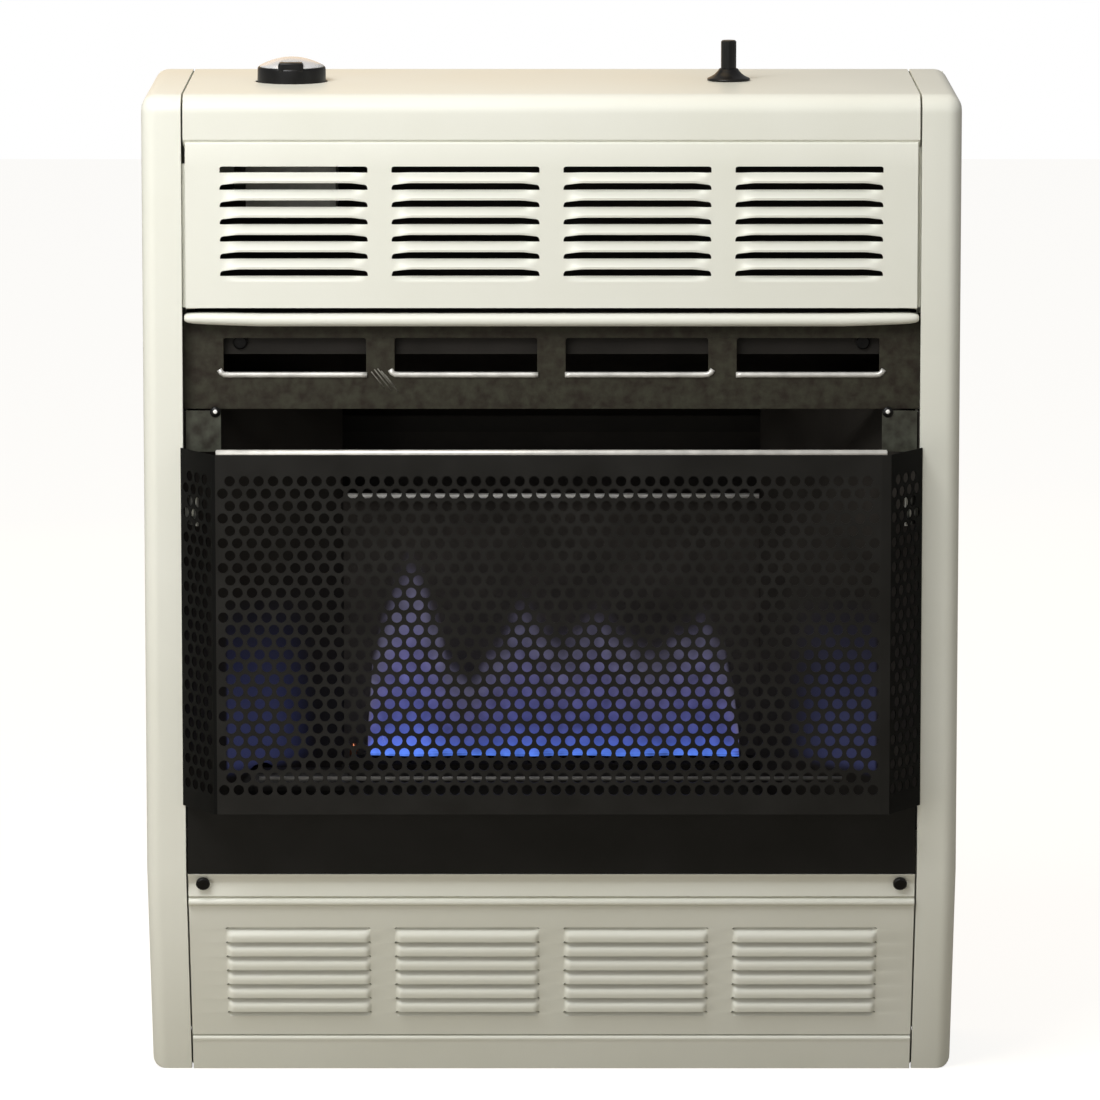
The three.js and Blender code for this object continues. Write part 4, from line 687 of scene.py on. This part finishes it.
# The back wall's top edge is a thin rod in near-white: a painted highlight where that edge catches the
# light.
shelf_form = bmesh.new()
back_low, back_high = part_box("firebox_back_wall")
shelf = [(x, back_low.y + 0.0012, back_high.z - 0.0014) for x in (-shelf_half, shelf_half)]
rod(shelf_form, shelf, shelf_radius, 8)
painted_highlight_white = finish("painted_highlight_white", (236, 234, 228), (250, 249, 246), 90, (0.3, 0.45), 500, 0.00005)
fit("firebox_back_wall_edge", shelf_form, painted_highlight_white, "root", "black_enamel")

# Guard: one sheet of black enamelled steel with 7 mm round holes in staggered rows, 9.5 mm apart. It stands
# 35 mm in front of the casing, its wings slant back at both ends, and its upper edge is hemmed. The wings
# take a near-black, dull copy of the enamel as painted shade where they turn away from the light.
hole_pitch = 0.009525
row_pitch = 0.00825
hole_radius = 0.0035
row_count = 26
first_row = 0.2098
guard_y = front - 0.035
guard_front_half = 0.2220
wing_out, wing_back = 0.0228, 0.0347
guard_wing = math.hypot(wing_out, wing_back)
guard_angle = math.atan2(wing_back, wing_out)
guard_low, guard_high = (spot.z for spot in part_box("guard"))
mesh_left, mesh_right = -0.22097, 0.21718
bend_gap = 0.0014
wing_start = guard_front_half + bend_gap
wing_end = guard_front_half + 0.0395
guard_sheet = 0.0007
hem_half, hem_radius = 0.2206, 0.0022
same_place = 0.0002
guard_enamel = finish("guard_enamel", (23, 22, 20), (30, 29, 27), 26, (0.38, 0.5), 700, 0.0001,
                      specular=0.22)
guard_form = bmesh.new()
cell_form = bmesh.new()
rim_spots = [(2, 0), (2, 1), (1, 1), (0, 1), (-1, 1), (-2, 1),
             (-2, 0), (-2, -1), (-1, -1), (0, -1), (1, -1), (2, -1)]
hole_ring = bmesh.ops.create_circle(cell_form, segments=12, radius=hole_radius)["verts"]
hole_ring.sort(key=lambda v: math.atan2(v.co.y, v.co.x) % (2 * math.pi - 0.01))
rim_ring = [cell_form.verts.new((x * hole_pitch / 4, y * row_pitch / 2, 0)) for x, y in rim_spots]
for number, v in enumerate(rim_ring):
    after = (number + 1) % len(rim_ring)
    cell_form.faces.new((v, rim_ring[after], hole_ring[after], hole_ring[number]))
bmesh.ops.rotate(cell_form, cent=(0, 0, 0), matrix=Matrix.Rotation(math.radians(90), 3, "X"),
                 verts=cell_form.verts)
cell_mesh = bpy.data.meshes.new("guard_cell")
cell_form.to_mesh(cell_mesh)
cell_form.free()
for row in range(row_count):
    row_z = first_row + row * row_pitch
    shift = hole_pitch / 2 if row % 2 else 0
    for x0, x1 in ((-wing_end, -wing_start), (mesh_left, mesh_right), (wing_start, wing_end)):
        count = round((x1 - x0) / hole_pitch)
        x = x0 + hole_pitch / 2
        for number in range(count if not shift else count - 1):
            before = len(guard_form.verts)
            guard_form.from_mesh(cell_mesh)
            guard_form.verts.ensure_lookup_table()
            bmesh.ops.translate(guard_form, vec=(x + shift, 0, row_z), verts=guard_form.verts[before:])
            x += hole_pitch
        if shift:
            for half_x in (x0, x0 + (count - 0.5) * hole_pitch):
                for dx in (0, 1):
                    for dz in (-1, 0):
                        xa = half_x + dx * hole_pitch / 4
                        za = row_z + dz * row_pitch / 2
                        xb, zb = xa + hole_pitch / 4, za + row_pitch / 2
                        spots = ((xa, za), (xb, za), (xb, zb), (xa, zb))
                        guard_form.faces.new([guard_form.verts.new((px, 0, pz)) for px, pz in spots])
bpy.data.meshes.remove(cell_mesh)
bmesh.ops.remove_doubles(guard_form, verts=guard_form.verts, dist=0.00002)
band_low = first_row - row_pitch / 2
band_high = first_row + (row_count - 0.5) * row_pitch
for gap_sides in ((-wing_start, mesh_left), (mesh_right, wing_start)):
    edges = [e for e in guard_form.edges if e.is_boundary
             and any(all(abs(v.co.x - x) < same_place for v in e.verts) for x in gap_sides)]
    bmesh.ops.bridge_loops(guard_form, edges=edges)
for level, edge_z in ((band_low, guard_low), (band_high, guard_high - 0.0020)):
    edges = [e for e in guard_form.edges
             if e.is_boundary and all(abs(v.co.z - level) < same_place for v in e.verts)]
    for v in grown_verts(bmesh.ops.extrude_edge_only(guard_form, edges=edges)):
        v.co.z = edge_z
for side in (-1, 1):
    edges = [e for e in guard_form.edges
             if e.is_boundary and all(v.co.x * side > wing_end - 0.0008 for v in e.verts)]
    for v in grown_verts(bmesh.ops.extrude_edge_only(guard_form, edges=edges)):
        v.co.x = side * (guard_front_half + guard_wing)
bmesh.ops.translate(guard_form, vec=(0, guard_y, 0), verts=guard_form.verts)
for side in (-1, 1):
    for reach in (0.0, bend_gap):
        pivot = Vector((side * (guard_front_half + reach * math.cos(guard_angle / 2)),
                        guard_y + reach * math.sin(guard_angle / 2), 0))
        wing = [v for v in guard_form.verts if v.co.x * side > guard_front_half + reach * 0.9 + near]
        bmesh.ops.rotate(guard_form, cent=pivot, matrix=Matrix.Rotation(side * guard_angle / 2, 3, "Z"),
                         verts=wing)
bmesh.ops.recalc_face_normals(guard_form, faces=guard_form.faces)
guard = fit("guard_mesh", guard_form, guard_enamel, "root", "guard_enamel", "guard")
guard.data.polygons.foreach_set("use_smooth", [False] * len(guard.data.polygons))
guard_wall = guard.modifiers.new("sheet", "SOLIDIFY")
guard_wall.thickness = guard_sheet
guard_wall.offset = -1
# Painted shade: the wing faces get a near-black copy of the guard enamel with little specular.
wing_painted_shade = finish("wing_painted_shade", (8, 8, 7), (13, 13, 12), 26, (0.5, 0.6), 700, 0.0001, specular=0.06)
guard.data.materials.append(wing_painted_shade)
for face in guard.data.polygons:
    if abs(face.center.x) > guard_front_half:
        face.material_index = 1
hem_form = bmesh.new()
hem_y, hem_z = front - 0.0328, guard_high - 0.0010
hem_end = 0.7
hem_path = [(x, hem_y, hem_z) for x in (-hem_half, 0.0006 - hem_half, hem_half - 0.0006, hem_half)]
rod(hem_form, hem_path, hem_radius, 14)
for v in hem_form.verts:
    if abs(v.co.x) > hem_half - 0.0003:
        v.co.y = hem_y + (v.co.y - hem_y) * hem_end
        v.co.z = hem_z + (v.co.z - hem_z) * hem_end
fit("guard_hem", hem_form, rolled_edge_painted_highlight, "root", "guard_enamel")

# Guard clips: short zinc-plated steel straps, bent from strip, from the edge of the casing's opening to the
# inside of each wing. They keep the CAD shapes.
clip_zinc = finish("clip_zinc", (150, 150, 146), (182, 182, 178), 60, (0.3, 0.45), 500, 0.00005,
                   metallic=1.0)
dress(clip_zinc, "guard_clip_left", "guard_clip_right")

# Flame: a low curtain of blue flame over the burner's ports, brightest at its foot and ends, with four
# paler peaks. Three thin sheets of it stand one behind the other.
flame_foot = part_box("burner_port_plate")[1].z + 0.0042
flame_trim = 0.0016
flame_x0, flame_x1 = -0.1235, 0.1260
flame_heights = ((-0.1235, 0.020), (-0.1206, 0.0674), (-0.1125, 0.0987), (-0.1035, 0.124), (-0.095, 0.137),
                 (-0.0865, 0.123), (-0.0776, 0.0987), (-0.0682, 0.0674), (-0.0547, 0.055), (-0.038, 0.078),
                 (-0.0212, 0.1075), (0.005, 0.083), (0.0319, 0.1014), (0.050, 0.085), (0.068, 0.0735),
                 (0.088, 0.090), (0.1031, 0.0984), (0.115, 0.080), (0.122, 0.050), (0.1260, 0.018))


def flame_height(x):
    """Height of the flame's tip over this place on the burner."""
    for (x0, h0), (x1, h1) in zip(flame_heights, flame_heights[1:]):
        if x <= x1:
            return h0 + (h1 - h0) * eased((x - x0) / (x1 - x0))
    return flame_heights[-1][1]


flame_glow = bpy.data.materials.new("blue_flame")
flame_glow.use_nodes = True
flame_tree = flame_glow.node_tree
flame_surface = flame_tree.nodes["Principled BSDF"]
flame_surface.inputs["Base Color"].default_value = (0, 0, 0, 1)
flame_surface.inputs["Roughness"].default_value = 1
flame_surface.inputs["Specular IOR Level"].default_value = 0
flame_surface.inputs["Emission Strength"].default_value = 1.0
flame_map = flame_tree.nodes.new("ShaderNodeUVMap")
flame_parts = flame_tree.nodes.new("ShaderNodeSeparateXYZ")
flame_colour = flame_tree.nodes.new("ShaderNodeValToRGB")
flame_density = flame_tree.nodes.new("ShaderNodeValToRGB")
flame_colour.color_ramp.elements[0].color = tone(92, 136, 246)
flame_colour.color_ramp.elements[1].color = tone(62, 58, 74)
for at, shade in (
    (0.07, (78, 99, 192)), (0.2, (78, 84, 150)), (0.5, (92, 90, 138)), (0.8, (104, 102, 128)),
):
    flame_colour.color_ramp.elements.new(at).color = tone(*shade)
flame_density.color_ramp.elements[0].color = (0.80, 0.80, 0.80, 1)
flame_density.color_ramp.elements[1].color = (0, 0, 0, 1)
for at, level in ((0.08, 0.5), (0.22, 0.34), (0.6, 0.27), (0.85, 0.17)):
    flame_density.color_ramp.elements.new(at).color = (level, level, level, 1)
flame_tree.links.new(flame_map.outputs[0], flame_parts.inputs[0])
flame_tree.links.new(flame_parts.outputs["Y"], flame_colour.inputs[0])
flame_tree.links.new(flame_parts.outputs["Y"], flame_density.inputs[0])
flame_tree.links.new(flame_colour.outputs["Color"], flame_surface.inputs["Emission Color"])
flame_ends = flame_tree.nodes.new("ShaderNodeValToRGB")
flame_ends.color_ramp.elements[0].color = (1.5, 1.5, 1.5, 1)
flame_ends.color_ramp.elements[1].color = (1.4, 1.4, 1.4, 1)
for at, level in ((0.04, 1.3), (0.14, 1.35), (0.26, 1.0), (0.95, 1.0)):
    flame_ends.color_ramp.elements.new(at).color = (level, level, level, 1)
flame_place = flame_tree.nodes.new("ShaderNodeTexCoord")
flame_flicker = flame_tree.nodes.new("ShaderNodeTexNoise")
flame_flicker.inputs["Scale"].default_value = 95
flame_spread = flame_tree.nodes.new("ShaderNodeMapRange")
flame_spread.inputs["From Min"].default_value = 0.3
flame_spread.inputs["From Max"].default_value = 0.7
flame_spread.inputs["To Min"].default_value = 0.68
flame_spread.inputs["To Max"].default_value = 1.2
flame_dense = flame_tree.nodes.new("ShaderNodeMath")
flame_dense.operation = "MULTIPLY"
flame_bright = flame_tree.nodes.new("ShaderNodeMath")
flame_bright.operation = "MULTIPLY"
flame_tree.links.new(flame_parts.outputs["X"], flame_ends.inputs[0])
flame_tree.links.new(flame_place.outputs["Object"], flame_flicker.inputs["Vector"])
flame_tree.links.new(flame_flicker.outputs["Fac"], flame_spread.inputs["Value"])
flame_tree.links.new(flame_density.outputs["Color"], flame_dense.inputs[0])
flame_tree.links.new(flame_spread.outputs[0], flame_dense.inputs[1])
flame_tree.links.new(flame_dense.outputs[0], flame_surface.inputs["Alpha"])
flame_tree.links.new(flame_spread.outputs[0], flame_bright.inputs[0])
flame_tree.links.new(flame_ends.outputs["Color"], flame_bright.inputs[1])
flame_tree.links.new(flame_bright.outputs[0], flame_surface.inputs["Emission Strength"])
for number, y in enumerate((-0.024, -0.0155, -0.007)):
    curtain = bmesh.new()
    curtain.loops.layers.uv.new("flame_map")
    bmesh.ops.create_grid(curtain, x_segments=80, y_segments=14, size=0.5, calc_uvs=True)
    for v in curtain.verts:
        across, up = v.co.x + 0.5, v.co.y + 0.5
        x = flame_x0 + (flame_x1 - flame_x0) * across
        height = flame_height(x) * (1 + 0.05 * (number - 1))
        v.co = (x, y + 0.002 * math.sin(90 * x + number), flame_foot + up * (height - flame_trim))
    fit("flame_curtain_%d" % number, curtain, flame_glow, "root", "burner_steel")

# Thermostat knob: a round black moulding with a pointer lug at its front and a crowned silver disc let into
# its top. It is pushed on to the valve stem and runs in a round hole in the cover.
knob_low, lug_high = (spot.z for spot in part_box("control_knob"))
disc_low, disc_high = (spot.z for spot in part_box("knob_disc"))
lug_wide, lug_deep, lug_out = 0.0168, 0.0130, 0.0157
lug_reach = 0.0225
knob_black = finish("knob_black", (12, 12, 12), (18, 17, 17), 80, (0.3, 0.42), 900, 0.00005, specular=0.3)
disc_silver = finish("disc_silver", (216, 217, 218), (238, 238, 240), 60, (0.2, 0.32), 800, 0.00003,
                     metallic=0.4)


def turned(line, x, y, steps=64):
    """A form turned about an upright axis from a line of radius and height."""
    form = bmesh.new()
    spots = [form.verts.new((r, 0, z)) for r, z in line]
    run = [form.edges.new(pair) for pair in zip(spots, spots[1:])]
    bmesh.ops.spin(form, geom=spots + run, axis=(0, 0, 1), cent=(0, 0, 0), steps=steps,
                   angle=math.radians(360), use_merge=True)
    bmesh.ops.remove_doubles(form, verts=form.verts, dist=0.00001)
    bmesh.ops.recalc_face_normals(form, faces=form.faces)
    bmesh.ops.translate(form, vec=(x, y, 0), verts=form.verts)
    return form


knob_line = [(0.0, disc_low - 0.0002), (0.0213, disc_low - 0.0002), (0.0216, disc_low + 0.0002),
             (0.0221, disc_low + 0.0001), (0.0226, disc_low - 0.0004), (0.0228, disc_low - 0.0014),
             (0.0229, knob_low + 0.0090), (0.0230, knob_low + 0.0074), (0.0230, knob_low + 0.0006),
             (0.0226, knob_low), (0.0210, knob_low), (0.0206, knob_low + 0.004), (0.0206, disc_low - 0.003),
             (0.0, disc_low - 0.003)]
knob_form = turned(knob_line, knob_x, knob_y)
lug = bmesh.ops.create_cube(knob_form, size=1)["verts"]
bmesh.ops.scale(knob_form, vec=(lug_wide, lug_deep, lug_high - disc_low + 0.003), verts=lug)
bmesh.ops.translate(knob_form, vec=(knob_x, knob_y - lug_out, (lug_high + disc_low - 0.003) / 2), verts=lug)
lug_edges = list({e for v in lug for e in v.link_edges})
bmesh.ops.bevel(knob_form, geom=lug_edges, offset=0.0019, segments=4, profile=0.5, affect="EDGES",
                material=-1)
for v in knob_form.verts:
    away = Vector((v.co.x - knob_x, v.co.y - knob_y))
    if v.co.z > disc_low + 0.0003 and away.length > lug_reach:
        away = away.normalized() * lug_reach
        v.co.x, v.co.y = knob_x + away.x, knob_y + away.y
fit("thermostat_knob", knob_form, knob_black, "knob", "black_plastic", "control_knob")
crown_radius, crown_edge = 0.0215, disc_low + 0.0008
crown_line = [(0.0, disc_low), (0.0214, disc_low), (0.0216, disc_low + 0.0003), (crown_radius, crown_edge)]
for step in range(1, 9):
    share = step / 8
    rise = (disc_high - crown_edge) * share * (2 - share)
    crown_line.append((crown_radius * (1 - share), crown_edge + rise))
crown_form = turned(crown_line, knob_x, knob_y)
fit("knob_crown", crown_form, disc_silver, "knob", "silver_disc", "knob_disc")

# Igniter: a black moulded collar with a flared foot stands on the cover, and a round plunger of the same
# plastic runs in it, above a barrel that hangs below the cover.
collar_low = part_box("igniter_collar")[0].z
collar_line = [(0.0055, collar_low), (0.0142, collar_low), (0.0144, collar_low + 0.0005),
               (0.0143, collar_low + 0.0011), (0.0136, collar_low + 0.0016), (0.0118, collar_low + 0.0024),
               (0.0100, collar_low + 0.0035), (0.0084, collar_low + 0.0049), (0.0071, collar_low + 0.0064),
               (0.0064, collar_low + 0.0075), (0.0060, collar_low + 0.0078), (0.0055, collar_low + 0.0074),
               (0.0055, collar_low)]
collar_form = turned(collar_line, igniter_x, igniter_y, 56)
fit("igniter_bezel", collar_form, knob_black, "root", "black_plastic", "igniter_collar")
dress(knob_black, "igniter_barrel", "igniter_plunger")

# Fasteners: black oxide pan-head screws at the sill's ends, inside the outer hood windows and at the hood's
# lower corners, where a near-white dot on each head is its painted highlight.
black_oxide = finish("black_oxide", (7, 7, 7), (14, 13, 13), 300, (0.28, 0.4), 900, 0.00003, specular=0.25)
dress(black_oxide, "sill_screw_left", "sill_screw_right", "hood_screw_left", "hood_screw_right")
flange_screw_x, flange_screw_z = 0.2223, 0.4565


def button(radius, around, along, x, y, z):
    """A round head, half as deep as it is wide, with these numbers of steps around and from pole to pole."""
    form = bmesh.new()
    bmesh.ops.create_uvsphere(form, u_segments=around, v_segments=along, radius=radius)
    bmesh.ops.scale(form, vec=(1, 0.5, 1), verts=form.verts)
    bmesh.ops.translate(form, vec=(x, y, z), verts=form.verts)
    return form


for side, word in ((-1, "left"), (1, "right")):
    head_form = button(0.0036, 20, 10, side * flange_screw_x, flange_y, flange_screw_z)
    fit("flange_screw_" + word, head_form, black_oxide, "root", "black_screws")
    # A near-white dot on the head: painted highlight.
    glint_form = button(0.0015, 14, 8, side * flange_screw_x, flange_y - 0.0014, flange_screw_z + 0.0003)
    fit("flange_screw_glint_" + word, glint_form, painted_highlight_white, "root", "black_screws")

# Base pan, bulb clip and brackets: folded from bare galvanised sheet with its crystal spangle and screwed
# down. Soot covers the four brackets near the flame. All keep the CAD shapes.
galvanised = finish("galvanised_sheet", (142, 146, 148), (176, 179, 180), 90, (0.3, 0.5), 600, 0.00004,
                    metallic=0.9)
sooted = finish("sooted_steel", (26, 24, 22), (44, 41, 38), 90, (0.5, 0.65), 600, 0.00006, specular=0.2)
dress(sooted, "burner_bracket_left", "burner_bracket_right", "pilot_bracket", "orifice_bracket")
dress(galvanised, "base_pan", "bulb_clip", "regulator_bracket", "valve_bracket")

# Burner and pilot: a folded tray, a port plate, a mixer tube and a pilot hood of aluminised steel, stained
# almost black by the flame. A thin rod in a paler grey runs along the edge of the shield in front of the
# tray and draws a grey line there.
burner_steel = finish("burner_steel", (24, 23, 22), (38, 36, 34), 45, (0.45, 0.6), 500, 0.00006,
                      specular=0.25)
dress(burner_steel, "burner_tray", "mixer_tube", "pilot_hood")
port_soot = finish("port_plate_soot", (22, 21, 20), (32, 30, 28), 45, (0.8, 0.95), 500, 0.00006,
                   specular=0.0)
dress(port_soot, "burner_port_plate")
shield_half, shield_y, shield_z = 0.1960, -0.0386, 0.2038
shield_form = bmesh.new()
rod(shield_form, [(x, shield_y, shield_z) for x in (-shield_half, shield_half)], 0.0016, 8)
edge_steel = finish("burner_edge_steel", (104, 102, 98), (126, 124, 119), 90, (0.35, 0.5), 500, 0.00005)
fit("burner_shield_edge", shield_form, edge_steel, "root", "burner_steel")

# Gas train and ignition: die-cast valve and regulator, turned brass fittings, bent aluminium pipes, copper
# capillary and thermocouple, a ceramic electrode and its sleeved lead. All keep the CAD shapes.
cast_alloy = finish("cast_alloy", (128, 128, 126), (158, 158, 155), 70, (0.4, 0.55), 500, 0.0001,
                    metallic=0.7)
dress(cast_alloy, "gas_valve_body", "valve_stem", "pressure_regulator")
brass = finish("brass_fitting", (168, 132, 66), (196, 160, 92), 60, (0.25, 0.4), 700, 0.00004, metallic=1.0)
dress(brass, "gas_orifice", "orifice_holder", "gas_inlet_fitting")
aluminium = finish("aluminium_pipe", (176, 178, 180), (200, 202, 204), 60, (0.28, 0.4), 700, 0.00003,
                   metallic=1.0)
dress(aluminium, "burner_pipe", "pilot_pipe", "supply_pipe")
copper = finish("copper_tube", (160, 92, 62), (196, 120, 84), 70, (0.25, 0.4), 700, 0.00003, metallic=1.0)
dress(copper, "capillary_tube", "thermocouple_lead", "thermocouple_probe", "thermostat_bulb")
white_ceramic = finish("electrode_ceramic", (214, 208, 196), (232, 228, 218), 90, (0.35, 0.5), 700, 0.00003)
dress(white_ceramic, "spark_electrode")
lead_sleeve = finish("lead_sleeve", (120, 44, 36), (150, 60, 48), 120, (0.45, 0.6), 900, 0.00004)
dress(lead_sleeve, "ignition_lead")
